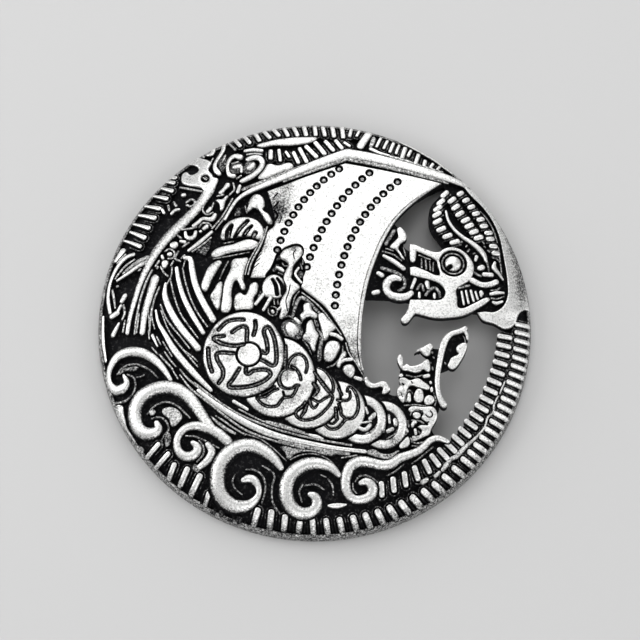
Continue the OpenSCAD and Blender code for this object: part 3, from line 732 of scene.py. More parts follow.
# Rope border: short ribs round the rim and a second row inside it, each with a fine line round one end.
# Angles are in degrees: by the rib's number, and then leans and widths by angle
border = {
    "outer": {
        "ribs": 31, "radius": 20.12, "length": 1.6,
        "angles": [(0, -0.1), (2, -4.8), (12, -29.6), (17, -43.2), (22, -61.1), (27, -79), (30, -90.4)],
        "lean": [(-90, 5), (-79, 9), (-65, 17), (-50, 18), (-40, 10), (0, 0)],
        "widths": [(-90, 0.56), (-79, 0.62), (-60, 0.68), (-43, 0.58), (-30, 0.52), (0, 0.46)],
        "fineLine": -1,
    },
    "inner": {
        "ribs": 21, "radius": 18.4, "length": 1.5, "drawIn": 0.03,
        "angles": [(0, -4.5), (3, -12.9), (10, -34.3), (16, -53.3), (20, -69)],
        "lean": [(-69, -18), (-61, -21), (-57, -15), (-53, -9), (-49, 2), (-40, 2), (0, 0)],
        "widths": [(-69, 0.54), (-40, 0.52), (0, 0.46)],
        "fineLine": 1,
    },
    # inner end, outer end, width, and width at the outer end of each rib of the uneven parts
    "ribs": [
        (-1.4, -19.75, -1.5, -20.35, 0.6), (-2.8, -19.25, -2.9, -20.2, 0.6),
        (-4.1, -18.8, -4.25, -20, 0.62), (-5.4, -18.6, -5.75, -19.7, 0.62),
        (-10.1, -16.9, -10.4, -17.75, 0.46), (-10.95, -15.3, -11.75, -16.8, 0.62),
        (-12.15, -14.6, -12.8, -15.9, 0.58), (-13.4, -14.1, -13.9, -15.2, 0.52),
        (-14, -13.05, -15.1, -14.1, 0.47), (-14.95, -12.1, -16, -13.1, 0.47),
        (-13.7, 15.2, -14.05, 15.35, 0.4), (-13.85, 14.6, -14.6, 14.95, 0.44, 0.3),
        (-14, 13.65, -15, 14.15, 0.46, 0.26), (-14.5, 12.8, -15.8, 13.35, 0.46, 0.24),
        (-15.2, 11.75, -16.6, 12.3, 0.46, 0.24), (-15.65, 10.75, -17.2, 11.35, 0.5, 0.24),
        (-16.2, 9.7, -17.7, 10.4, 0.46, 0.2), (-16.6, 8.7, -18, 9.55, 0.5, 0.24),
        (-17, 7.8, -18.6, 8.7, 0.44, 0.18), (-7.35, 18.4, -7.85, 19.2, 0.4),
        (-6.4, 18.7, -6.9, 19.55, 0.4), (-5.45, 18.95, -5.85, 19.85, 0.42),
        (-4.45, 19.25, -4.95, 20.05, 0.42), (-3.55, 19.5, -4.05, 20.3, 0.42),
        (-2.65, 19.45, -3, 20.35, 0.4), (-1.7, 19.45, -2.05, 20.45, 0.42),
        (-0.85, 19.5, -1.05, 20.5, 0.44), (0.1, 19.5, 0, 20.5, 0.42), (1, 19.45, 0.8, 20.45, 0.42),
        (1.9, 19.35, 1.75, 20.45, 0.45), (2.8, 19.25, 2.7, 20.45, 0.45), (3.45, 19.4, 3.6, 20.25, 0.34),
        (4.15, 19.45, 4.4, 20.1, 0.28), (-4.3, 16.8, -4.3, 17.5, 0.45), (-3.35, 16.5, -3.5, 17.6, 0.34),
        (-2.5, 16.9, -2.8, 17.4, 0.28), (-1.6, 16.25, -2.05, 17.3, 0.38),
        (-0.8, 16.35, -1.45, 17.75, 0.4), (0.15, 16.9, -0.8, 18, 0.44), (0.95, 17.25, 0.1, 18.45, 0.45),
        (1.8, 17.65, 1.1, 18.6, 0.42), (2.65, 17.9, 2.1, 18.7, 0.4), (3.4, 18.15, 2.95, 18.5, 0.3),
        (6.1, 18.2, 6.5, 19.25, 0.3), (6.8, 18.05, 7.15, 18.95, 0.3), (7.4, 17.65, 7.75, 18.7, 0.34),
        (8, 17.5, 8.3, 18.5, 0.28), (8.6, 17.1, 8.9, 18.2, 0.44), (9.2, 17.3, 9.45, 17.95, 0.32),
        (9.9, 16.45, 10.2, 17.5, 0.4), (10.75, 16.3, 10.85, 16.8, 0.4), (11.4, 16.15, 11.6, 16.55, 0.32),
        (12.05, 15.95, 12.3, 16.35, 0.26),
    ],
    "fineWidth": 0.1,
    "fineAway": 0.22,
    "fineLeg": 0.9,
    "fineSink": 0.29,
    "fineTurns": (90, 60, 30, 0, -30, -60, -90),
    "waveRoom": 1.05,
    "ridge": [
        [(17.6, -7.3, 0.12), (17.2, -8.2, 0.16), (17.1, -8.9, 0.14), (16.6, -9.4, 0.18),
         (16.3, -10.3, 0.16), (15.8, -11, 0.2), (15.1, -11.7, 0.26), (14.5, -12.25, 0.32),
         (14.05, -12.7, 0.45), (13.5, -13.3, 0.42), (13, -13.55, 0.35), (12.5, -14.2, 0.5),
         (12.2, -14.6, 0.3)], [(11.9, -14.85, 0.3), (11.5, -15.2, 0.36)],
        [(10.7, -15.55, 0.4), (10.3, -15.8, 0.5)],
        [(18.3, -5.8, 0.12), (18, -6.5, 0.18), (17.8, -7, 0.12)],
    ],
    "lines": [
        [(5.3, 19.75, 0.72), (4.5, 18.2, 0.74)],
        [(8.4, 19, 0.16), (9.65, 18.4, 0.22), (10.9, 17.65, 0.22), (11.85, 17.05, 0.22),
         (12.8, 16.25, 0.18), (13.5, 15.7, 0.14)],
        [(-20.5, 0.9, 0.2), (-20.45, -1.5, 0.3), (-20.15, -3.6, 0.2)],
        [(-19.4, 6.6, 0.3), (-18.7, 7.55, 0.6)],
        [(-18.7, -8.45, 0.72), (-18.5, -9.1, 0.46), (-18.1, -10.2, 0.18), (-17.2, -11.6, 0.1)],
        [(-13.7, -15.7, 0.12), (-13.35, -15.95, 0.18)], [(-12.7, -16.5, 0.1), (-12.2, -16.9, 0.18)],
        [(-11.5, -17.3, 0.12), (-11, -17.6, 0.2)],
        [(5.5, 17.85, 0.35), (6.4, 17.4, 0.26), (7.3, 17.15, 0.16)],
    ],
    "bits": [
        [(-10, -18.35), (-9.4, -18.3), (-9.45, -18.6), (-9.65, -18.75)],
        [(-8.4, -19.1), (-8.05, -19.05), (-7.85, -19.35), (-8.2, -19.35)],
        [(-9.1, -18.4), (-8.85, -18.35), (-8.6, -18.75), (-8.9, -18.95)],
        [(-7.5, -19.2), (-7.1, -19), (-6.85, -19.2), (-7.1, -19.6), (-7.4, -19.5)],
        [(5.75, 19.5), (6, 19.3), (5.75, 18.3), (5.4, 18.1), (5.45, 18.6)],
        [(5.6, 17.75), (7, 17.35), (9, 16.85), (11, 16.15), (12.7, 15.7), (12.2, 15.75), (9, 16.55),
         (6.4, 17.3)],
    ],
    "bitSink": 0.14,
}


def readOff(table, at):
    table = sorted(table)
    return float(np.interp(at, [key for key, _ in table], [value for _, value in table]))


def ribLine(angle, radius, length, width, lean):
    turn = math.radians(angle)
    x, y = radius * math.cos(turn), radius * math.sin(turn)
    return straightLine(x, y, turn + math.radians(lean), (length - width) / 2, width)


# The fine line that runs round one end of a rib: way is 1 for its outer end and -1 for its inner one
def fineLine(rib, way):
    inner, outer = np.array(rib[0][:2]), np.array(rib[1][:2])
    end, other = (outer, inner) if way > 0 else (inner, outer)
    away = (end - other) / np.hypot(*(end - other))
    beside = np.array((-away[1], away[0]))
    reach = rib[0][2] / 2 + border["fineAway"]
    size = border["fineWidth"]
    turns = np.radians(border["fineTurns"])
    bend = [end + reach * (away * math.cos(turn) + beside * math.sin(turn)) for turn in turns]
    leg = away * min(border["fineLeg"], math.hypot(*(end - other)))
    return [(*(bend[0] - leg), size), *[(*point, size) for point in bend], (*(bend[-1] - leg), size)]


def makeBorder():
    ribs, fineLines = [], []
    for row in (border["outer"], border["inner"]):
        for i in range(row["ribs"]):
            angle = readOff(row["angles"], i)
            radius = row["radius"] - row.get("drawIn", 0) * i
            width, lean = readOff(row["widths"], angle), readOff(row["lean"], angle)
            ribs.append(ribLine(angle, radius, row["length"], width, lean))
            fineLines.append(fineLine(ribs[-1], row["fineLine"]))
    for inX, inY, outX, outY, width, *outer in border["ribs"]:
        ribs.append([(inX, inY, width), (outX, outY, outer[0] if outer else width)])
        fineLines.append(fineLine(ribs[-1], -1))
    made = joinAll([drawLines("ribs", ribs, roundness=0.6, power=2.5, square=0.75, wider=-0.02),
                    drawLines("fineLines", fineLines, sink=border["fineSink"]),
                    drawLines("ridge", border["ridge"], sink=0.1)])
    carve(made, drawLines("room", waves["tubes"], wider=2 * waves["clearance"], cut=border["waveRoom"]))
    bits = fillOutlines("borderBits", border["bits"], edge=0.1, grid=0.5, sink=border["bitSink"])
    return joinAll([made, drawLines("borderLines", border["lines"], roundness=0.5, power=2.6), bits])


# Sail with its ring punches, and the yard
sail = {
    "outline": [
        (-4.6, 13.15, 0), (-1, 14.6), (3, 16.15, 0), (7, 15.4), (12.4, 14.3, 0), (9.8, 12.15), (8, 10.2),
        (6.9, 8.3), (6.1, 6.4), (5.3, 4), (4.8, 1.6), (4.5, -1.2), (4.5, -3.6), (4.7, -5.5, 0),
        (3.7, -4.1), (3, -2.2), (2.2, -0.7), (1.1, 0.9), (0, 1.9), (-1.1, 2.8), (-2.2, 3.9), (-3.9, 4.35),
        (-4.7, 4.05), (-6.2, 4.05, 0), (-5.75, 5.5), (-5, 7.3), (-4.55, 8.8), (-3.9, 9.5), (-4.1, 11.3),
    ],
    # first, middle and last centre of each row of punches, and how many
    "punchRows": [
        [(2.4, 15.5), (-1.3, 11.75), (-3.6, 6.85), 12], [(5.35, 15.1), (1.65, 10.65), (-0.75, 5.05), 13],
        [(8.1, 14.2), (3.75, 8.5), (1.95, 1.1), 16],
    ],
    "punch": 0.86,
    "punchDeep": 0.7,
    "punchCore": 0.44,
    "coreTop": [(1, -0.28), (0.7, -0.15)],  # share of the core's width, and height
    "yard": [
        [(-8.7, 10.2, 0.22), (-8.1, 11.4, 0.28), (-7.5, 12.3, 0.3), (-6.5, 13.05, 0.42), (-5, 13.75, 0.5),
         (-3, 14.65, 0.62), (0, 16.02, 0.85), (3.05, 17.25, 1.05)],
        [(3.25, 17.3, 1.08), (6, 16.8, 1.02), (10, 15.8, 0.92), (13, 15.05, 0.85), (14.8, 14.45, 0.6)],
    ],
    "yardBevels": [
        [(-7, 13.4, 0.3), (-5, 14.2, 0.45), (-3, 15.1, 0.45), (-1, 15.95, 0.3)],
        [(-3, 14.2, 0.2), (0, 15.45, 0.36), (3, 16.62, 0.42)],
        [(3.3, 16.65, 0.42), (6, 16.15, 0.5), (10, 15.2, 0.46), (13, 14.5, 0.3)],
    ],
    "hem": [
        (12.3, 14.1, 0.12), (9.55, 12.15, 0.14), (7.7, 10.2, 0.14), (6.55, 8.3, 0.14), (5.75, 6.4, 0.14),
        (4.95, 4, 0.14), (4.45, 1.6, 0.14), (4.15, -1.2, 0.14), (4.15, -3.4, 0.14), (4.5, -5.2, 0.12),
    ],
    "hemDeep": 0.14,
    "nickDeep": 0.3,
    # nicks along the left edge
    "nicks": [
        [(-5.9, 5, 0.1), (-5.4, 5.45, 0.12)], [(-5.8, 5.45, 0.1), (-5.3, 5.95, 0.12)],
        [(-5.6, 5.95, 0.1), (-5.15, 6.45, 0.12)], [(-5.4, 6.5, 0.1), (-5.05, 6.9, 0.1)],
        [(-3.95, 9.9, 0.2), (-3.6, 10.5, 0.26), (-3.9, 11.1, 0.2)], [(-3.9, 11.5, 0.2), (-3.5, 12, 0.16)],
        [(-3.4, 9.7, 0.14), (-3.2, 10.3, 0.14)], [(-4, 12.4, 0.14), (-3.6, 12.9, 0.16)],
    ],
    # the fine lines along the left and lower edges
    "edgeLines": [
        [(-4.6, 9.3, 0.14), (-4.85, 8.4, 0.16), (-5.35, 7.15, 0.18), (-6.1, 5.6, 0.16),
         (-6.4, 4.4, 0.14)],
        [(-4.85, 9.1, 0.1), (-5.1, 8.2, 0.12), (-5.65, 7.1, 0.12), (-6.4, 5.6, 0.12), (-6.7, 4.4, 0.1)],
        [(-1.2, 2.45, 0.1), (0, 1.5, 0.13), (0.9, 0.55, 0.13), (1.7, -0.55, 0.13), (2.55, -1.75, 0.1)],
        [(3, -2.6, 0.1), (3.3, -3.6, 0.12), (4, -4.6, 0.12), (4.6, -5.7, 0.1)],
    ],
    "dips": [
        (-3.6, 12.4, 1.5, 0.17), (-3.9, 10.6, 1.1, 0.24), (-2.9, 11.2, 0.8, 0.1), (-5, 8.2, 0.6, 0.14),
        (-2.5, 13.6, 0.9, 0.1), (-4.9, 7.2, 0.7, 0.16), (-5.9, 4.6, 0.8, 0.1), (3.7, -2.6, 0.8, 0.17),
        (3.4, -0.8, 0.8, 0.13), (4, -4, 0.7, 0.2), (-2.4, 5.9, 1.1, 0.08), (0.6, 3.2, 1.2, 0.07),
    ],
    "edge": 0.2,
    # where the second warrior stands in front of the cloth
    "rooms": [
        [(-4.6, 4), (-4.1, 4.9), (-3.8, 5.6), (-3.5, 6.4), (-3.1, 6.7), (-3.1, 6), (-2.6, 5.4),
         (-2.5, 4.6), (-3, 4), (-3.8, 3.8)],
        [(-1.5, 6), (-1.15, 5.6), (-1, 4.8), (-1.25, 4), (-1.3, 3.4), (-1.6, 3.1), (-2.2, 3.9), (-2.1, 5),
         (-1.8, 5.5)],
    ],
    "warriorRoom": 0.4,
    "roomDeep": 8,
    "roomGrid": 50,  # uncut
}


# A place on a bowed row whose knots are its first, middle and last place
def alongRow(first, middle, last, t):
    return [(1 - t) * (1 - 2 * t) * a + 4 * t * (1 - t) * b + t * (2 * t - 1) * c
            for a, b, c in zip(first, middle, last)]


def makeSail():
    centres = []
    for first, middle, last, count in sail["punchRows"]:
        centres += [alongRow(first, middle, last, i / (count - 1)) for i in range(count)]
    cloth = fillOutlines("sail", [sail["outline"]], edge=sail["edge"], grid=0.5)
    half = sail["punch"] / 2
    carve(cloth, copyAll(ringForm("punch", [(half, -sail["punchDeep"]), (half, 1)], 16), centres))
    carve(cloth, drawLines("hem", [sail["hem"]], cut=sail["hemDeep"]))
    carve(cloth, drawLines("nicks", sail["nicks"], cut=sail["nickDeep"]))
    for outline in sail["rooms"] + [crew["blocks"][crew["second"]]]:
        room = fillOutlines("warriorRoom", [outline], edge=0.05, grid=sail["roomGrid"],
                            deep=sail["roomDeep"])
        fatten(room, sail["warriorRoom"] / 2)
        carve(cloth, room)
    dip(cloth, sail["dips"])
    core = sail["punchCore"] / 2
    coreRings = [(core, -face["root"])] + [(core * share, height) for share, height in sail["coreTop"]]
    cores = copyAll(ringForm("punchCore", coreRings, 12), centres)
    yard = drawLines("yard", sail["yard"], roundness=0.45, power=2.2)
    bevels = drawLines("yardBevels", sail["yardBevels"], sink=0.17, roundness=0.4)
    lines = drawLines("edgeLines", sail["edgeLines"], sink=0.14)
    return joinAll([cloth, cores, yard, bevels, lines])


# Shields along the rail, each overlapped by the one before it
shields = {
    # x, y, half width, half height
    "places": [
        (-6.8, -3.6, 3.9, 4.2), (-3.55, -5.9, 3.6, 3.9), (-0.65, -7.85, 3.05, 3.05),
        (2.05, -9.1, 2.8, 2.8), (4.5, -10, 2.35, 2.35), (6.55, -10.5, 2.3, 2.3),
    ],
    "plain": 4,  # the first ones are flat with engraved figures, the others have a sunk face
    "gap": 0.24,
    "rim": 0.85,
    "sides": 96,
    "grid": 0.6,
    # a sunk face: where the top of its rim begins, how high that is, and the ring at its middle
    "bevel": 0.25,
    "rimTop": 0.02,
    "middle": (0.1, -0.46),
    # rings of the edge and of the two kinds of face: share of the width, way in from there, height
    "edgeRings": [(1, 0, -0.3), (1, 0.05, -0.17), (1, 0.13, -0.06)],
    "plainRings": [
        (1, 0.25, -0.01), (0.85, 0, 0), (0.7, 0, 0.01), (0.5, 0, 0.02), (0.3, 0, 0.03), (0.1, 0, 0.03),
    ],
    "sunkRings": [
        (1, -0.2, 0), (1, -0.08, -0.06), (1, 0, -0.2), (1, 0, -0.5), (1, 0.1, -0.52), (0.7, 0, -0.48),
        (0.4, 0, -0.46),
    ],
    "roomRings": [(0.3, -2), (1, -2), (1, 8), (0.3, 8)],
    "boss": (-6.3, -3.7, 1.17),
    "bossLine": 0.3,
    "lines": [
        [(-9.2, -1.15, 0.42), (-8.4, -0.4, 0.42), (-7.4, -0.2, 0.42), (-6.8, -0.25, 0.42)],
        [(-5.7, -0.4, 0.42), (-5.65, -1, 0.42), (-5.85, -1.8, 0.42)],
        [(-6.5, -2.3, 0.42), (-6.5, -1.1, 0.42), (-6.8, -0.9, 0.42), (-7.4, -1.1, 0.42),
         (-7.9, -1.45, 0.42)],
        [(-8.7, -1.8, 0.42), (-9.7, -1.95, 0.42), (-9.5, -2.2, 0.42), (-8.7, -2.6, 0.42),
         (-7.6, -2.8, 0.42), (-6.8, -2.7, 0.42)],
        [(-7.72, -3.55, 0.42), (-9.3, -3.5, 0.42), (-9.35, -4, 0.42), (-9, -4.7, 0.42),
         (-8.75, -5.2, 0.42), (-8.8, -5.9, 0.42), (-9.15, -6.4, 0.42)],
        [(-10.2, -3, 0.42), (-10.15, -3.9, 0.42), (-10, -4.7, 0.42), (-9.8, -5.3, 0.42)],
        [(-7.2, -5.1, 0.42), (-7.8, -6.1, 0.42), (-8.2, -6.75, 0.42), (-7.5, -6.9, 0.42),
         (-6.4, -6.85, 0.42), (-5.2, -6.5, 0.42), (-4.4, -6, 0.42), (-4.2, -5.6, 0.42),
         (-4.6, -5.25, 0.42), (-5.8, -5.3, 0.42), (-6.3, -5.6, 0.42), (-6.55, -5.5, 0.42),
         (-6.55, -5.05, 0.42)],
        [(-5, -3.45, 0.42), (-4.65, -3.65, 0.42), (-4.5, -3.2, 0.42), (-4.6, -2.4, 0.42),
         (-4.85, -1.4, 0.42), (-4.5, -1, 0.42), (-4.1, -1.5, 0.42), (-3.8, -2.4, 0.42),
         (-3.65, -3.6, 0.42), (-3.7, -4.6, 0.42), (-4, -4.85, 0.42), (-4.8, -4.4, 0.42),
         (-5.12, -4.25, 0.42)],
    ],
    "engraved": 0.5,
    "figureWider": 0.04,
    # engraved figures on the smaller shields
    "figures": [
        [(-2.6, -5, 0.25), (-2.45, -4.4, 0.3), (-2, -3.9, 0.3), (-1.4, -3.75, 0.3), (-0.9, -4.15, 0.3),
         (-0.7, -4.9, 0.3), (-0.83, -5.55, 0.3)],
        [(-2.2, -4.9, 0.25), (-1.75, -5.2, 0.3), (-1.4, -5.8, 0.32), (-1.3, -6.25, 0.3)],
        [(-2, -5.3, 0.22), (-2.6, -5.15, 0.28), (-3.15, -5.45, 0.32), (-3.4, -6.1, 0.42),
         (-3.2, -6.8, 0.42), (-2.7, -7.1, 0.3), (-2.1, -7.05, 0.28), (-1.8, -6.8, 0.3),
         (-1.5, -6.8, 0.28)],
        [(-1.65, -6.9, 0.3), (-1.85, -7.4, 0.3), (-2.2, -7.85, 0.28), (-2.9, -7.95, 0.3),
         (-3.3, -8.4, 0.3), (-3.6, -8.75, 0.3), (-4.4, -8.8, 0.3), (-5.1, -8.45, 0.28), (-5.5, -8, 0.25)],
        [(-5.5, -7.95, 0.28), (-4.7, -7.8, 0.28), (-4.1, -7.4, 0.28), (-3.5, -7.15, 0.28)],
        [(-5, -7.6, 0.22), (-4.3, -7.25, 0.26), (-3.8, -6.9, 0.26)],
        [(-4.6, -7.1, 0.2), (-4, -6.6, 0.3), (-3.7, -6, 0.2)], [(-3, -7.4, 0.2), (-2.85, -7.9, 0.22)],
        [(-2.75, -2.9, 0.3), (-2.8, -3.9, 0.5), (-2.85, -4.8, 0.42)],
        [(0.3, -5, 0.28), (0.95, -5.3, 0.32), (1.5, -5.95, 0.32), (1.8, -6.8, 0.3), (1.75, -7.4, 0.28)],
        [(0, -5.5, 0.32), (0.7, -6.5, 0.42), (1.3, -7.3, 0.42), (1.7, -7.75, 0.28)],
        [(-0.1, -6.6, 0.4), (0.3, -7.2, 0.5), (0, -7.7, 0.35)],
        [(-0.2, -8.1, 0.3), (0.4, -8.4, 0.3), (1, -8.05, 0.3), (1.5, -7.8, 0.28)],
        [(-0.5, -8.2, 0.35), (-0.1, -9, 0.3), (0.3, -8.65, 0.2)],
        [(-0.7, -8.6, 0.3), (-0.95, -9.3, 0.42), (-1.25, -9.75, 0.3)],
        [(1.75, -8, 0.3), (1.5, -8.6, 0.3), (1, -9.2, 0.3), (0.4, -9.75, 0.32), (-0.4, -10.1, 0.32),
         (-1.2, -10.1, 0.32), (-1.75, -9.7, 0.3), (-1.7, -9.2, 0.28), (-1.2, -8.8, 0.28),
         (-0.9, -8.4, 0.28)],
        [(3.1, -7.4, 0.2), (3.25, -6.95, 0.28), (3.55, -7, 0.3), (3.9, -7.45, 0.32), (4.12, -8.1, 0.32),
         (4.18, -8.8, 0.32), (4, -9.5, 0.32), (3.6, -9.95, 0.32), (3, -10.05, 0.32), (2.6, -10.5, 0.32),
         (2.1, -10.95, 0.32), (1.4, -10.95, 0.32), (1, -10.6, 0.28)],
        [(3.35, -7.4, 0.24), (3.4, -7.95, 0.26), (3.1, -8.25, 0.3), (2.5, -8.25, 0.3), (2.2, -8.2, 0.3)],
        [(2.3, -8.6, 0.28), (2.5, -9.1, 0.32), (2.55, -9.6, 0.3), (2.9, -9.95, 0.3)],
        [(2, -9, 0.32), (2.1, -9.9, 0.42)], [(2.3, -7.1, 0.3), (2.6, -7.7, 0.3)],
        [(1.3, -10.4, 0.22), (1.75, -10.5, 0.26), (2.2, -10.05, 0.26)],
    ],
    # raised bits on the sunk faces
    "bits": [
        [(5.4, -8.55, 0.42), (5.75, -8.9, 0.2)],
        [(5.3, -9.95, 0.36), (5.6, -9.65, 0.5), (5.75, -9.5, 0.36)],
        [(4.2, -10.8, 0.3), (4.8, -11, 0.42), (5.3, -10.55, 0.36)],
        [(4.4, -10.35, 0.15), (4.9, -10.3, 0.18), (5.4, -10.2, 0.15)],
        [(4.9, -8.9, 0.2), (5.05, -9.4, 0.25)], [(7.25, -8.85, 0.12), (7.95, -9.5, 0.14)],
        [(7.7, -10.05, 0.46), (7.75, -10.45, 0.4)], [(7, -11.1, 0.38), (7.4, -10.9, 0.38)],
        [(7.1, -9.6, 0.22), (7.15, -10.3, 0.22)],
    ],
    "arcs": [
        [(5.2, -8.2, 0.14), (5.95, -8.9, 0.16), (6.15, -9.9, 0.16), (5.7, -10.9, 0.16),
         (4.8, -11.45, 0.12)],
        [(7.2, -8.6, 0.14), (7.95, -9.4, 0.16), (8.12, -10.4, 0.16), (7.7, -11.3, 0.16),
         (6.9, -11.8, 0.12)], [(6.6, -9.2, 0.12), (6.75, -10.2, 0.14), (6.6, -11.2, 0.12)],
    ],
    # partly painted shade on the shaded halves of the figures and shield faces, partly cast texture: x,
    # y, reach and depth
    "dips": [
        (-2.85, -6.15, 0.5, 0.2), (-2.6, -5.7, 0.4, 0.14), (-2, -4.5, 0.4, 0.2), (-9.2, -2.9, 0.6, 0.15),
        (-7.9, -3.1, 0.5, 0.15), (-7, -2.1, 0.4, 0.14), (-4.4, -7.7, 0.5, 0.14), (-1.1, -7.3, 0.5, 0.13),
        (-2.4, -8.4, 0.7, 0.14), (-5, -8.9, 0.6, 0.14), (1, -6.3, 0.4, 0.14), (0.2, -7.9, 0.4, 0.14),
        (-8.2, -4.3, 0.45, 0.16), (-7.9, -2, 0.6, 0.13), (-6.9, -3.6, 0.55, 0.13), (-6, -6.2, 0.6, 0.1),
        (-9.7, -1.5, 0.8, 0.17), (-9.8, -3.1, 0.7, 0.1), (-10.3, -5, 0.5, 0.12), (-5.4, -7.1, 0.8, 0.13),
        (-7.5, -7.5, 1, 0.12), (-3.4, -1.5, 0.7, 0.11), (-3.1, -3.5, 0.5, 0.14), (-9.3, -6.6, 0.6, 0.1),
        (-4.4, -8.4, 0.5, 0.1), (-3.3, -9, 0.6, 0.1), (-2.1, -4.7, 0.5, 0.12), (-1.6, -8.2, 0.5, 0.1),
        (5.9, -11.6, 0.8, 0.14), (7.5, -12, 0.7, 0.2), (3.2, -11.3, 0.6, 0.1),
    ],
}


# A disc of one shield, wider by more, from below the floor up to the given heights
def shieldDisc(name, shield, rings, more=0.0):
    x, y, wide, high = shield
    disc = ringForm(name, rings, shields["sides"])
    places = vertexArray(disc)
    places[:, 0] = places[:, 0] * (wide + more) + x
    places[:, 1] = places[:, 1] * (high + more) + y
    setVertices(disc, places)
    return disc


def shieldRings(shield, plain):
    high = shield[3]

    def rings(edge, kind):
        return [(edge * share - inward / high, height) for share, inward, height in shields[kind]]

    outer = [(0.3, -face["root"]), (1, -face["root"])] + rings(1, "edgeRings")
    if plain:
        return outer + rings(1, "plainRings")
    rim = 1 - shields["rim"] / high
    outer += [(1 - shields["bevel"] / high, 0), ((1 + rim) / 2, shields["rimTop"])]
    return outer + rings(rim, "sunkRings") + [shields["middle"]]


def crosses(row, shield):
    x, y, wide, high = shield
    return any(math.hypot((px - x) / wide, (py - y) / high) < 1 for px, py, _ in row)


def makeShields():
    made = []
    for i, shield in enumerate(shields["places"]):
        plain = i < shields["plain"]
        disc = shieldDisc("shield", shield, shieldRings(shield, plain))
        cutGrid(disc, shields["grid"])
        drape(disc)
        if i:
            room = shieldDisc("room", shields["places"][i - 1], shields["roomRings"], shields["gap"])
            carve(disc, room)
        else:
            carve(disc, drawLines("engraving", shields["lines"], cut=shields["engraved"], wider=0.1))
            x, y, radius = shields["boss"]
            for half in circleLines((x, y), radius, shields["bossLine"], 24):
                carve(disc, drawLines("bossRing", [half], cut=shields["engraved"]))
        for row in shields["figures"]:
            if i and crosses(row, shield):
                carve(disc, drawLines("figure", [row], cut=shields["engraved"], wider=0.1))
        made.append(disc)
    made = joinAll(made)
    dip(made, shields["dips"])
    floors = list(shields["lines"])
    for row in shields["figures"]:
        floors.append([(x, y, width + shields["figureWider"]) for x, y, width in row])
    return joinAll([made, drawLines("shieldBits", shields["bits"], sink=0.08, roundness=0.8),
                    drawLines("shieldArcs", shields["arcs"], sink=0.2),
                    drawLines("engravedFloors", floors, sink=0.25, wider=-0.24)])


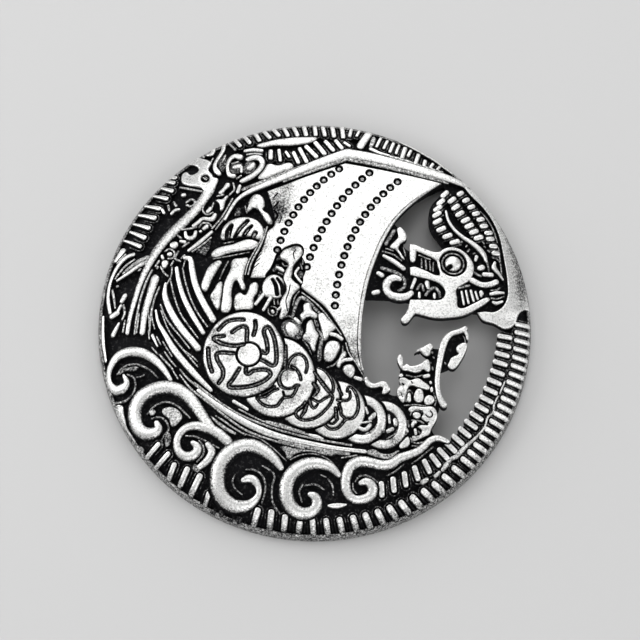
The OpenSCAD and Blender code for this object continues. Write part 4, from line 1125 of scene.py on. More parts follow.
# Strakes and rails of the hull
hull = {
    "strakes": [
        [(-12.55, 6.3, 0.45), (-12.05, 6.15, 0.55), (-11.85, 5.1, 0.66), (-11.5, 3.5, 0.68),
         (-10.8, 1.8, 0.72), (-9.75, -0.1, 0.7)],
        [(-13.35, 5.25, 0.42), (-13.15, 4, 0.48), (-12.65, 2.3, 0.54), (-11.8, 0.5, 0.58),
         (-10.7, -1.4, 0.46)],
        [(-14.4, 3.7, 0.3), (-14.45, 2.5, 0.6), (-13.9, 0.95, 0.7), (-13, -0.6, 0.74),
         (-11.2, -2.9, 0.7)],
        [(-15.3, 1, 0.25), (-15.05, -0.2, 0.35), (-14.4, -1.4, 0.5), (-13.4, -3.1, 0.68),
         (-11.6, -5.3, 0.68), (-9.9, -7.1, 0.4)],
        [(-11.1, -7.1, 0.4), (-9.5, -8.4, 0.54), (-7, -10.05, 0.68), (-4.7, -11.2, 0.72),
         (-3, -11.75, 0.62), (-0.9, -12.25, 0.5), (2, -12.8, 0.42), (4.8, -13.1, 0.4)],
        [(-15.6, -1.5, 0.35), (-15.1, -2.6, 0.2)],
    ],
    "threads": [
        [(-12.9, -4.95, 0.14), (-12.2, -5.8, 0.18), (-10.9, -6.95, 0.2), (-7.4, -9.35, 0.2),
         (-5, -10.45, 0.2), (-3, -11.15, 0.2), (0, -11.9, 0.2), (3.5, -12.5, 0.2)],
        [(-7.2, -9, 0.14), (-5, -10.15, 0.14), (-3, -10.85, 0.14), (-0.6, -11.5, 0.14)],
        [(-14.4, -3.15, 0.12), (-13.9, -3.9, 0.16), (-13.3, -4.65, 0.12)],
        [(-13.6, -5, 0.12), (-13.1, -5.85, 0.16)],
        [(-12.9, -5.5, 0.12), (-11.8, -6.9, 0.18), (-10.4, -8.05, 0.24), (-7, -10.75, 0.2),
         (-4.5, -11.85, 0.2), (-1, -12.8, 0.2)],
        [(-14.8, 1, 0.12), (-14.1, -0.9, 0.14), (-13.1, -2.4, 0.16), (-12.2, -3.5, 0.18),
         (-11.2, -4.75, 0.12)], [(-12.4, -3.2, 0.12), (-11.8, -3.65, 0.14), (-11.25, -4.2, 0.12)],
        [(-11.9, -3.95, 0.12), (-11.4, -4.5, 0.12)], [(-15.65, -2.65, 0.12), (-15.1, -3.3, 0.16)],
        [(-16, -1, 0.14), (-15.9, -1.8, 0.14)],
        [(-14.6, -2.1, 0.12), (-14.2, -2.8, 0.14), (-13.7, -3.6, 0.12)],
        [(-15.2, -1.6, 0.14), (-14.8, -2.4, 0.14)],
        [(-11.5, -6.3, 0.14), (-10.4, -7.2, 0.18), (-9, -8.3, 0.14)],
        [(-12.75, 5.2, 0.14), (-12.45, 3.7, 0.16), (-11.9, 2, 0.16), (-11.3, 0.7, 0.16),
         (-10.3, -0.8, 0.14)], [(-12.55, 6, 0.1), (-12.75, 5.2, 0.12)],
        [(-13.95, 4.2, 0.14), (-13.55, 2.4, 0.16), (-12.9, 0.6, 0.16), (-12.2, -0.5, 0.16),
         (-11.2, -1.9, 0.14)],
        [(-14.85, 1.6, 0.14), (-14.4, 0.4, 0.16), (-13.7, -0.7, 0.16), (-12.9, -1.7, 0.14),
         (-12, -2.9, 0.12)], [(-14.9, -3.4, 0.16), (-14.2, -4.2, 0.2), (-13.6, -4.9, 0.16)],
        [(-15.75, 1.4, 0.12), (-15.65, 0.2, 0.14), (-15.4, -0.8, 0.12)],
        [(-16.05, 1.2, 0.12), (-15.95, 0, 0.14), (-15.9, -0.9, 0.12)],
        [(-14.3, 3.6, 0.12), (-13.85, 4.6, 0.14), (-13.8, 5.4, 0.12)],
        [(-3.4, -12.05, 0.2), (0, -12.8, 0.46), (3.2, -13.3, 0.42)],
        [(2.6, -13.7, 0.12), (4, -13.45, 0.14)],
        [(-4.6, -10.2, 0.2), (-3.3, -10.6, 0.5), (-2, -11, 0.4), (-1, -11.3, 0.2)],
        [(-9.85, -9.65, 0.12), (-9.2, -10.25, 0.3), (-8.4, -10.85, 0.36), (-7.6, -11.3, 0.25)],
        [(-9.4, -9.6, 0.12), (-8.7, -10.05, 0.18), (-7.6, -10.85, 0.14), (-6.6, -11.45, 0.14)],
    ],
    "bright": [
        [(-0.5, -11.55, 0.2), (0.1, -11.7, 0.3), (0.8, -11.85, 0.22)],
        [(-7.7, -8.25, 0.3), (-6.4, -9.05, 0.25)],
    ],
    "patch": [
        [(-3.2, -12.6), (-2, -12.75), (0, -13.05), (2, -13.3), (1.5, -13.5), (-0.5, -13.1), (-1.8, -13.3),
         (-2.5, -13.8), (-2.8, -13.2)],
        [(4.9, -13.1), (5.7, -12.85), (6.3, -13.2), (7.2, -13.25), (8.1, -12.9), (7.7, -13.3),
         (7.1, -13.75), (6.2, -13.65), (5.3, -13.4)],
    ],
    "patchSink": 0.17,
    "dips": [(-2.8, -11.8, 1.3, 0.05)],
    "threadSink": 0.16,
}


# The space that all the shields take up
def shieldRoom():
    rooms = [shieldDisc("room", shield, shields["roomRings"], shields["gap"])
             for shield in shields["places"]]
    for other in rooms[1:]:
        combine(rooms[0], other, "UNION")
    return rooms[0]


def makeHull():
    strakes = drawLines("strakes", hull["strakes"], roundness=0.75, power=2.3, wider=-0.06)
    threads = drawLines("strakeThreads", hull["threads"], sink=hull["threadSink"])
    bright = drawLines("hullBright", hull["bright"], roundness=0.5)
    patch = fillOutlines("hullPatch", hull["patch"], sink=hull["patchSink"], edge=0.12, grid=0.5)
    made = joinAll([strakes, threads, bright, patch])
    carve(made, shieldRoom())
    dip(made, hull["dips"])
    return made


# Crew between the sail and the shields
crew = {
    "blocks": [
        [(-6.5, 11), (-6.4, 11.7), (-6.3, 12.3), (-5.9, 12.75), (-5.4, 12.75), (-5, 12.3), (-4.9, 11.6),
         (-5.1, 11.1), (-4.6, 10.75), (-4.3, 10.3), (-4.15, 9.7), (-4.4, 9.65), (-4.75, 10.05),
         (-5.1, 10.7), (-5.5, 11.25), (-6, 11.4), (-6.25, 11.2)],
        [(-9.1, 8.3), (-8.9, 9.2), (-8.4, 9.85), (-7.6, 10.25), (-6.6, 10.35), (-5.8, 10.1), (-5.25, 9.6),
         (-4.95, 8.9), (-5.05, 8.3), (-5.4, 8.05), (-6, 8.35), (-7.2, 8.4), (-8.2, 8.2), (-8.9, 8.1)],
        [(-9.95, 6.45), (-9.6, 7.05), (-8.8, 7.35), (-8, 7.5), (-7.2, 7.8), (-6.5, 8), (-5.9, 7.9),
         (-5.5, 7.6), (-5.8, 7.15), (-6.8, 6.95), (-7.8, 6.8), (-8.6, 6.6), (-9.4, 6.3)],
        [(-10.9, 3.3), (-10.6, 4.4), (-10.25, 5.2), (-9.85, 5.65), (-9.05, 5.8), (-9.45, 5), (-9.95, 4),
         (-10.3, 3.1), (-10.55, 2.8)],
        [(-10, 2.2), (-9.6, 3), (-9.05, 3.7), (-8.95, 3), (-9.1, 1.8), (-9.25, 0.95), (-9.6, 1.3)],
        [(-8.95, 0.8), (-8.85, 2), (-8.65, 3.6), (-8.1, 4.9), (-7.9, 5.9), (-7, 6.05), (-6.45, 6.05),
         (-6.65, 5.4), (-6.85, 4.6), (-6.9, 3.8), (-6.7, 3), (-6.95, 2.85), (-7.3, 3.6), (-7.6, 3.9),
         (-7.9, 3.4), (-8.05, 2.5), (-8, 1.5), (-8.25, 0.7), (-8.7, 0.6)],
        [(-7.6, 0.9), (-7.6, 2.2), (-7.2, 2.5), (-6.7, 2.25), (-6.35, 2.7), (-6.1, 3.4), (-5.55, 3.45),
         (-5.55, 2.6), (-5.9, 2), (-6, 1), (-6.8, 0.85)],
        [(-3.3, 6.25), (-3, 6.8), (-2.5, 7.1), (-1.8, 7.3), (-1.3, 7.1), (-1.2, 6.5), (-1.5, 6),
         (-1.95, 5.45), (-2.15, 5), (-2.2, 4.4), (-2.3, 4), (-1.9, 3.5), (-1.45, 3.05), (-1.75, 2.7),
         (-2.15, 2.2), (-2.4, 1.4), (-2.5, 0.8), (-2.8, 0.1), (-3.3, -0.1), (-3.2, 0.6), (-3.3, 1.3),
         (-3.05, 2), (-2.7, 2.6), (-2.7, 3.2), (-2.95, 3.9), (-2.85, 4.4), (-2.65, 4.9), (-2.45, 5.3),
         (-2.7, 5.7), (-3.1, 5.9)],
        [(-5, 2.9), (-4.8, 3.7), (-4.3, 4.2), (-3.7, 4.25), (-3.1, 3.8), (-2.95, 3.1), (-3.05, 2.4),
         (-3.4, 2), (-4, 2), (-4.7, 2.15)],
        [(-1, 1.25), (-0.5, 1.35), (-0.3, 0.8), (-0.1, 0.5), (0.25, 0.25), (0.1, -0.1), (-0.4, 0.05),
         (-0.8, 0), (-1.15, -0.25), (-1.35, 0.2), (-1, 0.6)],
        [(0.4, 0.3), (0.8, 0.35), (1.3, -0.25), (2, -1.1), (1.5, -1.5), (1.25, -2), (1, -2.3),
         (0.8, -1.7), (0.62, -0.9), (0.45, -0.3)],
        [(-2.55, -0.55), (-2.1, -0.65), (-1.7, -0.95), (-1.5, -1.5), (-1.8, -1.9), (-2.2, -1.95),
         (-2.55, -1.6), (-2.75, -1.1)],
        [(-0.6, -0.5), (-0.3, -0.35), (-0.1, -0.8), (0.05, -1.3), (0.35, -1.8), (0.2, -2.3), (0.05, -2.9),
         (-0.05, -3.4), (-0.3, -3), (-0.5, -2.6), (-0.9, -2.3), (-1.1, -2), (-0.8, -1.5), (-0.75, -0.9)],
        [(1.05, -3), (1.3, -2.55), (1.8, -2.4), (2.3, -2.6), (2.4, -3), (2.2, -3.5), (1.8, -4.2),
         (1.4, -4.4), (1, -4.2), (0.95, -3.6)],
        [(2.75, -5.1), (3, -4.8), (3.5, -4.75), (3.8, -5.1), (3.75, -5.6), (3.55, -5.95), (3.2, -5.8),
         (2.9, -5.5)], [(2.85, -3.4), (3, -3.75), (2.6, -4.3), (2.35, -5), (2.15, -4.8), (2.35, -4.2)],
    ],
    "second": 7,
    "grow": 0.06,
    "edge": 0.3,
    "slotDeep": 0.6,
    # lower, greyer plates under and between the blocks
    "plates": [
        [(-7.8, 10.6), (-7.65, 11.2), (-7.4, 11.55), (-7.15, 11.2), (-7.25, 10.6)],
        [(-3.2, -0.7), (-2.4, -0.15), (-1.6, -0.5), (-1.1, -1.2), (-1.2, -2), (-1.8, -2.3), (-2.5, -2.2),
         (-3, -1.6)],
        [(0.55, -1.9), (0.85, -2.4), (0.75, -3.2), (0.65, -4.3), (0.3, -4.4), (0.3, -3.4), (0.4, -2.6)],
        [(-4.1, 4.7), (-3.85, 5.3), (-3.6, 5.5), (-3.4, 5.2), (-3.7, 4.7)],
        [(-3.75, 5.9), (-3.4, 6.4), (-3.3, 6.1), (-3.5, 5.8)],
        [(-1.5, 4.7), (-1.1, 4.6), (-1.05, 4.2), (-1.3, 3.9), (-1.6, 4)],
        [(-11, 6.8), (-10.6, 7.3), (-10.15, 7.9), (-10.1, 7.4), (-10.35, 6.9), (-10.7, 6.6)],
    ],
    "plateSink": 0.27,
    "lines": [
        [(-5.65, 1.35, 0.25), (-4.95, 2.3, 0.28)], [(-4.9, 0.75, 0.22), (-4.25, 1.95, 0.25)],
        [(1.55, -1.72, 0.28), (2.1, -1.85, 0.3), (2.6, -2.2, 0.28)],
        [(2.5, -4.5, 0.2), (2.9, -4.28, 0.25), (3.55, -4.2, 0.25)],
        [(-1.85, -0.2, 0.25), (-1.5, -0.55, 0.3)], [(3.9, -6, 0.25), (4.4, -6.15, 0.3)],
        [(-7.15, 3.95, 0.2), (-6.85, 3.25, 0.25)],
        [(-3.65, 5.05, 0.16), (-3.3, 4.9, 0.3), (-3.05, 4.7, 0.22)],
        [(-1.55, 4.95, 0.16), (-1.85, 4.4, 0.18), (-1.5, 3.75, 0.16), (-1.25, 3.45, 0.12)],
        [(-4.05, 0.6, 0.22), (-3.98, 0.5, 0.24)], [(-3.2, 1.05, 0.16), (-3.5, 0.75, 0.14)],
    ],
    "threads": [
        [(-4.45, 0.95, 0.1), (-4.4, 0.4, 0.12), (-3.95, 0.15, 0.12), (-3.6, 0.45, 0.12),
         (-3.7, 0.95, 0.12), (-4.15, 1.1, 0.1)], [(-3.9, 1.8, 0.12), (-3.85, 1.3, 0.12)],
        [(-3.55, 1.75, 0.12), (-3.5, 1.35, 0.12)],
        [(-2.6, 5.2, 0.1), (-2.95, 5.25, 0.12), (-3.1, 5.5, 0.1)],
        [(-3.5, 4.55, 0.1), (-3.1, 4.35, 0.12)], [(-1.35, 5.4, 0.1), (-1.2, 4.9, 0.12)],
        [(-1.1, 5.9, 0.1), (-1.15, 5.4, 0.12)],
        [(-2.1, 0.1, 0.26), (-1.9, 0.9, 0.34), (-1.65, 1.6, 0.4), (-1.25, 2, 0.42), (-0.6, 1.6, 0.34),
         (-0.1, 1.05, 0.34), (0.4, 0.5, 0.26)], [(-1.5, 2.6, 0.12), (-1.9, 2, 0.12), (-2.1, 1.2, 0.1)],
        [(-1.15, -0.3, 0.12), (-1.4, -0.9, 0.14), (-1.3, -1.5, 0.12)],
        [(-2.9, 0, 0.1), (-2.4, 0.1, 0.12), (-2, -0.2, 0.1)],
        [(-1.1, -2.3, 0.1), (-0.6, -3, 0.12), (-0.3, -3.8, 0.1)],
        [(0, -0.3, 0.12), (0.3, -1, 0.14), (0.2, -0.4, 0.12)],
        [(0.3, -1.2, 0.2), (0.75, -2.05, 0.3), (0.5, -3, 0.3), (0.35, -3.9, 0.2)],
        [(2.7, -2.9, 0.12), (2.65, -3.7, 0.14), (1.9, -4.7, 0.14), (1.2, -5, 0.12)],
        [(-7.5, 8.8, 0.1), (-7.05, 9.4, 0.12), (-6.6, 9.8, 0.1)], [(-6.75, 8.6, 0.1), (-6.4, 9.1, 0.12)],
        [(-5.9, 8.35, 0.3), (-5.78, 8.6, 0.3)], [(-8.3, 8.3, 0.1), (-8.25, 8.9, 0.1)],
        [(-8.8, 7.7, 0.12), (-7.9, 7.85, 0.14)], [(-9.8, 6.1, 0.1), (-8, 6.4, 0.12), (-6.3, 6.7, 0.1)],
        [(-9.15, 4, 0.12), (-8.8, 4.9, 0.16), (-8.35, 5.8, 0.12)],
        [(-3.75, 3.75, 0.1), (-3.35, 3, 0.12), (-3.3, 2.3, 0.1)], [(-4.5, 1.2, 0.1), (-4.05, 2, 0.12)],
        [(-2.95, -0.85, 0.12), (-2.95, -1.3, 0.14), (-2.7, -1.75, 0.12)],
        [(-5.2, 2.6, 0.12), (-5.45, 1.9, 0.14)],
        [(-7.2, 12.6, 0.12), (-7.9, 11.8, 0.14), (-8.4, 10.7, 0.12)],
        [(-6.75, 11.6, 0.12), (-6.6, 10.9, 0.14)],
        [(-10.35, 3.2, 0.1), (-9.85, 4.2, 0.12), (-9.3, 5.2, 0.1)],
    ],
    "slots": [
        [(-8.45, 8.05, 0.6), (-8.35, 8.85, 0.75), (-8.05, 9.5, 0.5)],
        [(-7.75, 8.25, 0.42), (-7.25, 9.1, 0.52), (-6.5, 9.95, 0.5)],
        [(-6.95, 8.2, 0.46), (-6.55, 8.9, 0.52), (-6.1, 9.4, 0.4)],
        [(-5.95, 8.3, 0.55), (-5.75, 8.65, 0.6)],
        [(-4.05, 3.8, 0.4), (-3.75, 3.2, 0.46), (-3.6, 2.3, 0.5)],
        [(-3.6, 3.9, 0.32), (-3.15, 3.2, 0.46), (-3.1, 2.35, 0.42)],
        [(-6.2, 10.9, 0.5), (-5.6, 10.75, 0.5)],
        [(-1.95, 5.9, 0.12), (-2.05, 6.5, 0.14), (-1.8, 6.9, 0.12)],
        [(-2.35, 3.2, 0.12), (-2.5, 2.4, 0.14), (-2.75, 1.6, 0.12), (-2.6, 0.6, 0.12)],
    ],
    "dips": [
        (-8.9, 8.5, 0.4, 0.12), (-6.3, 12.5, 0.5, 0.14), (-2.1, 7.1, 0.8, 0.18), (-7.8, 5.4, 0.5, 0.14),
        (-9.9, 5.6, 0.4, 0.12), (-9.7, 1.9, 0.4, 0.16), (-7.4, 1.4, 0.4, 0.12), (-0.6, -2.3, 0.4, 0.14),
        (-1.7, -1.8, 0.4, 0.16), (1.2, -4, 0.4, 0.12), (-2.9, 0.2, 0.5, 0.12), (3.2, -5.4, 0.4, 0.1),
    ],
}


def makeCrew():
    blocks = fillOutlines("crew", crew["blocks"], edge=crew["edge"], grid=0.5, grow=crew["grow"])
    dip(blocks, crew["dips"])
    carve(blocks, drawLines("slots", crew["slots"], cut=crew["slotDeep"]))
    made = joinAll([blocks, drawLines("crewLines", crew["lines"], roundness=0.85, wider=0.06),
                    drawLines("crewThreads", crew["threads"], sink=0.2),
                    fillOutlines("crewPlates", crew["plates"], edge=0.14, sink=crew["plateSink"])])
    carve(made, shieldRoom())
    return made


# Stern post with its beast head, spirals and interlace
stern = {
    "post": [
        [(-18.05, -1.1, 0.36), (-17.85, 0.4, 0.42), (-17.4, 2.2, 0.5), (-16.9, 3.9, 0.55),
         (-16.3, 5.4, 0.7), (-15.6, 6.8, 0.9), (-14.8, 8, 1.05), (-13.9, 9.05, 1.15),
         (-12.8, 10.15, 1.15), (-11.8, 11.2, 1.1), (-11, 12.3, 1.05), (-10.3, 13.4, 1.1),
         (-9.95, 14.2, 0.8)],
        [(-16.6, -1.1, 0.55), (-16.4, 0.8, 0.65), (-15.95, 2.6, 0.75), (-15.45, 4.3, 0.9)],
        [(-16.2, 6.1, 0.6), (-17, 5.75, 0.36), (-18, 5.1, 0.32), (-19.15, 4.42, 0.22)],
    ],
    "lines": [
        [(-17.6, 7, 0.3), (-18.3, 6.8, 0.36), (-18.95, 6.2, 0.36), (-19.45, 5.4, 0.3),
         (-19.85, 4.4, 0.26), (-20.02, 3.4, 0.26), (-20.02, 2.4, 0.3), (-19.8, 1.2, 0.3)],
        [(-18.35, 2.75, 0.42), (-18.65, 2.2, 0.38)], [(-18.75, 1.75, 0.2), (-19, 1.25, 0.26)],
        [(-19.6, 0.8, 0.5), (-19.1, 1.05, 0.5)],
        [(-19.45, -1.1, 0.42), (-19.2, -0.6, 0.36), (-18.9, -0.05, 0.2)],
        [(-9.95, 18.65, 0.32), (-10, 18.1, 0.4), (-10.15, 17.65, 0.45), (-10.5, 17.6, 0.3)],
        [(-8.95, 18.7, 0.35), (-9, 18, 0.36), (-9.3, 17.3, 0.32), (-9.7, 16.5, 0.28),
         (-9.78, 15.95, 0.36), (-9.55, 15.45, 0.55), (-9.35, 15.2, 0.4)],
        [(-7.3, 17, 0.6), (-7.8, 17.15, 0.5), (-8.25, 16.85, 0.36), (-8.5, 16.2, 0.26),
         (-8.5, 15.5, 0.28), (-8.3, 14.98, 0.42), (-7.9, 14.88, 0.4)],
        [(-7.85, 15.85, 0.36), (-7.35, 15.95, 0.45)], [(-7.15, 15.8, 0.2), (-7.15, 15.3, 0.2)],
        [(-6.5, 16.7, 0.5), (-5.9, 16.9, 0.55), (-5.35, 16.75, 0.55), (-5.1, 16.2, 0.5),
         (-5.35, 15.6, 0.5), (-5.9, 15, 0.48), (-6.5, 14.6, 0.5), (-7.1, 14.3, 0.4)],
        [(-6.35, 15.75, 0.6), (-6.05, 16.05, 0.5)],
        [(-6.8, 17.7, 0.3), (-6, 17.78, 0.36), (-5.2, 17.65, 0.34)],
        [(-8.5, 13.9, 0.5), (-8.8, 13.5, 0.3), (-9.15, 13.1, 0.36)],
        [(-7.3, 13.75, 0.26), (-7.5, 13.1, 0.3)], [(-13, 8.05, 0.22), (-12.6, 7.95, 0.28)],
        [(-12.55, 8.95, 0.26), (-12.45, 8.5, 0.32), (-12.1, 8.32, 0.38), (-11.7, 8.5, 0.36),
         (-11.55, 8.95, 0.28)],
        [(-11.75, 9.65, 0.32), (-11.3, 10, 0.32), (-10.9, 10.35, 0.26), (-10.4, 10.3, 0.32),
         (-9.95, 10.3, 0.48), (-9.7, 10.7, 0.38)], [(-10.75, 9.3, 0.3), (-10.5, 9.5, 0.42)],
        [(-11.1, 9, 0.2), (-11.05, 9, 0.2)], [(-10.4, 11.1, 0.32), (-10.15, 11.4, 0.36)],
        [(-12.2, 7.05, 0.25), (-11.3, 7.75, 0.36), (-10, 8.9, 0.26)],
        [(-14.8, 6.6, 0.2), (-14.7, 6.35, 0.22)], [(-14.1, 6.75, 0.38), (-14, 6.75, 0.38)],
        [(-12.85, 13.03, 0.38), (-12.75, 13.03, 0.38)], [(-14.9, 11.6, 0.2), (-14.7, 11.2, 0.24)],
        [(-13.95, 11.05, 0.24), (-13.6, 11.4, 0.26), (-13.2, 11.45, 0.16)],
    ],
    "threads": [
        [(-17.35, -1.2, 0.14), (-17.15, 0.6, 0.16), (-16.8, 2.4, 0.16), (-16.3, 4, 0.16),
         (-15.75, 5.2, 0.14)], [(-17.15, -1.1, 0.1), (-16.95, 0.8, 0.12)],
        [(-15.9, -1.2, 0.12), (-15.8, 0.4, 0.14), (-15.5, 2.1, 0.14), (-15, 3.4, 0.12)],
        [(-13.15, 13.95, 0.14), (-12, 13.6, 0.18), (-11.05, 13.35, 0.14)],
        [(-19.62, 3.5, 0.16), (-19.45, 2.6, 0.2), (-19.3, 1.6, 0.1)],
        [(-19.15, 3.85, 0.2), (-19.1, 3.85, 0.2)],
        [(-12.5, 12.2, 0.16), (-12, 12.5, 0.18), (-11.65, 12.15, 0.18), (-12, 11.75, 0.18),
         (-12.45, 11.9, 0.16)], [(-13.75, 12.3, 0.2), (-13.5, 11.9, 0.24)],
        [(-14.3, 12, 0.16), (-14.2, 11.5, 0.18)],
        [(-17.5, 6.45, 0.1), (-18.3, 5.95, 0.16), (-19, 5.2, 0.16), (-19.35, 4.7, 0.1)],
        [(-16.2, 6.55, 0.5), (-17.2, 6.15, 0.45), (-18, 5.6, 0.3), (-18.6, 5.1, 0.14)],
        [(-18.4, 7.15, 0.12), (-18.9, 6.75, 0.14), (-19.2, 6.4, 0.12)],
        [(-18.6, 6.95, 0.1), (-19.05, 6.5, 0.1)], [(-17.05, 5.25, 0.14), (-16.9, 5.4, 0.14)],
        [(-15.25, 5.4, 0.2), (-15.2, 5.5, 0.2)],
        [(-18.5, 1.8, 0.18), (-18.35, 1, 0.2), (-18.6, 0.3, 0.14)],
        [(-18.3, 0.2, 0.12), (-18.5, -0.9, 0.14)], [(-8.75, 17.35, 0.12), (-9.05, 16.5, 0.12)],
        [(-8.5, 19, 0.14), (-7.8, 17.9, 0.16)],
        [(-7.95, 14.1, 0.12), (-7.85, 13.4, 0.14), (-8.3, 12.85, 0.12)],
        [(-9.5, 12.75, 0.12), (-8.9, 12.9, 0.14)],
        [(-6.6, 17.3, 0.16), (-5.9, 17.35, 0.2), (-5.2, 17.25, 0.16)],
        [(-10.75, 11.95, 0.1), (-10.9, 11.3, 0.12), (-10.5, 10.8, 0.12), (-9.9, 11, 0.1)],
        [(-9.85, 12, 0.12), (-10.05, 11.4, 0.12)],
        [(-11.85, 6.95, 0.1), (-10.9, 7.6, 0.12), (-10.05, 8.35, 0.1)],
        [(-9.95, 9.3, 0.1), (-9, 10.5, 0.12), (-8, 12.4, 0.1)],
        [(-9.6, 9.2, 0.1), (-8.7, 10.5, 0.12), (-8.3, 11.2, 0.1)],
        [(-12.9, 9.3, 0.12), (-12.2, 9.35, 0.14), (-11.5, 9.5, 0.12)],
        [(-13.3, 8.7, 0.12), (-12.95, 8.4, 0.14)],
        [(-11.2, 9.5, 0.12), (-10.9, 9.9, 0.12), (-10.3, 9.85, 0.14), (-10, 9.5, 0.12)],
        [(-14.5, 7.1, 0.12), (-14.05, 7.3, 0.14), (-13.6, 6.95, 0.12), (-13.7, 6.4, 0.12),
         (-14.2, 6.3, 0.12)], [(-13.2, 7, 0.14), (-13.5, 6.3, 0.16), (-13, 6, 0.12)],
        [(-12.8, 7.5, 0.12), (-12.2, 7.9, 0.12)], [(-12.9, 6.3, 0.12), (-12.6, 6.6, 0.12)],
        [(-15.4, 5.6, 0.14), (-15.1, 6.1, 0.16)],
        [(-14.9, 5.5, 0.12), (-14.6, 4.9, 0.14), (-14.2, 4.5, 0.12)],
        [(-13.9, 5.6, 0.12), (-13.7, 6, 0.12)], [(-10, 17.1, 0.1), (-10.3, 16.3, 0.1)],
        [(-11.2, 18, 0.14), (-10.9, 17.4, 0.14)], [(-7.2, 14.9, 0.12), (-7.6, 14.6, 0.12)],
        [(-8.1, 16.3, 0.12), (-7.5, 16.45, 0.14)],
    ],
    "shapes": [
        [(-12.95, 15.5), (-13.05, 14.9), (-12.9, 14.4), (-12.3, 14.05), (-11.5, 13.85), (-11, 13.65),
         (-10.75, 13.3), (-10.3, 12.9), (-9.9, 13.3), (-9.6, 14), (-9.45, 14.6), (-9.9, 14.8),
         (-10.1, 15.2), (-10.4, 15.6), (-10.35, 16), (-10.15, 16.5), (-10.5, 16.85), (-11.1, 17.2),
         (-11.6, 17.5), (-12.3, 17.1), (-12.45, 16.8), (-11.9, 16.5), (-11.45, 16.15), (-11.35, 15.7),
         (-11.7, 15.35), (-12.2, 15.3), (-12.6, 15.7)],
        [(-5.6, 18.2), (-4.6, 18.7), (-3, 19.05), (-1, 19.15), (0.2, 18.95), (-1.8, 18.25), (-4, 18.25)],
        [(-4.5, 16.1), (-3.6, 15.9), (-2.5, 16.2), (-2.1, 15.75), (-3.3, 15.2), (-5.4, 14.5),
         (-4.9, 15.5)],
        [(-9.6, 12.3), (-9, 12.35), (-8.45, 12.75), (-8.7, 12.2), (-8.85, 11.5), (-9.1, 11.15),
         (-9.2, 11.6), (-9.3, 12)], [(-14.75, 6.05), (-14.2, 6), (-14.3, 5.6), (-14.6, 5.3)],
        [(-14, 7.85), (-13.4, 8), (-13.25, 7.65), (-13.6, 7.35), (-13.95, 7.5)],
    ],
    "plates": [
        [(-11.5, 7), (-10.6, 7.65), (-10.1, 8.1), (-10.2, 7.4), (-10.6, 6.5), (-10.9, 6.7)],
        [(-19.5, 7), (-18.9, 7.8), (-18.35, 7.75), (-18.5, 7.3), (-19.1, 6.7)],
        [(-7, 15.2), (-6.2, 15.15), (-5.7, 15.9), (-6, 16.5), (-6.7, 16.4), (-7, 15.8)],
        [(-8.2, 15.3), (-7.4, 15.2), (-7, 15.8), (-7.2, 16.4), (-8, 16.4), (-8.3, 15.9)],
        [(-9.5, 16.6), (-8.9, 17.4), (-8.6, 16.6), (-8.9, 15.4), (-9.2, 15.6)],
    ],
    "plateSink": 0.27,
    "wider": 0.04,
    "eye": (-10.7, 14.72),
    "eyeHole": 0.46,
    # the two lines in the eye, from its middle
    "lids": [[(-0.2, 0.15, 0.14), (0.1, -0.1, 0.16)], [(-0.05, 0.25, 0.12), (0.25, 0.02, 0.12)]],
    "dips": [(-12.3, 14.8, 0.6, 0.12), (-11.8, 16.9, 0.5, 0.12), (-3, 18.6, 0.8, 0.08)],
    # painted shade along the left side of the post and of the bar beside it, sunk so that the finish
    # paints it grey: x, y, reach and depth
    "flanks": [
        [(-11.2, 12.9, 0.4, 0.1), (-12.1, 11.7, 0.45, 0.14), (-13.1, 10.6, 0.45, 0.16),
         (-14.2, 9.5, 0.45, 0.18), (-15.2, 8.2, 0.45, 0.18), (-16.2, 6.5, 0.42, 0.18),
         (-16.75, 5.2, 0.36, 0.16), (-17.3, 3.6, 0.32, 0.15), (-17.8, 1.8, 0.3, 0.15),
         (-18.15, -0.4, 0.3, 0.15)],
        [(-15.95, 4.4, 0.4, 0.16), (-16.4, 2.6, 0.36, 0.16), (-16.8, 0.6, 0.32, 0.15),
         (-16.95, -1, 0.3, 0.14)],
    ],
    "flankStep": 0.2,
}


# Sinks a piece along lines of x, y, reach and depth
def dipAlong(piece, lines, step):
    places = vertexArray(piece)
    for line in lines:
        xs, ys, reaches, depths = np.array(line).T
        away = np.full(len(places), np.inf)
        for t in np.arange(0, len(line) - 1, step):
            x, y = np.interp(t, range(len(line)), xs), np.interp(t, range(len(line)), ys)
            away = np.minimum(away, np.hypot(places[:, 0] - x, places[:, 1] - y))
        reach = np.interp(places[:, 1], ys[::-1], reaches[::-1])
        depth = np.interp(places[:, 1], ys[::-1], depths[::-1])
        places[:, 2] -= depth * np.exp(-(away / reach) ** 2)
    setVertices(piece, places)


def makeStern():
    eyeHole = circlePoints(stern["eye"], stern["eyeHole"], 20)
    head = fillOutlines("stern", stern["shapes"], [eyeHole], edge=0.22, grid=0.5, grow=0.03)
    dip(head, stern["dips"])
    post = drawLines("sternPost", stern["post"], roundness=0.7, power=2.2)
    dipAlong(post, stern["flanks"], stern["flankStep"])
    eyeX, eyeY = stern["eye"]
    lids = [[(eyeX + x, eyeY + y, width) for x, y, width in lid] for lid in stern["lids"]]
    lines = drawLines("sternLines", stern["lines"], roundness=0.9, power=2.1, wider=stern["wider"])
    return joinAll([head, post, lines, drawLines("sternThreads", stern["threads"], sink=0.15, wider=0.05),
                    fillOutlines("sternPlates", stern["plates"], edge=0.12, sink=stern["plateSink"]),
                    drawLines("sternEye", lids, sink=0.2)])


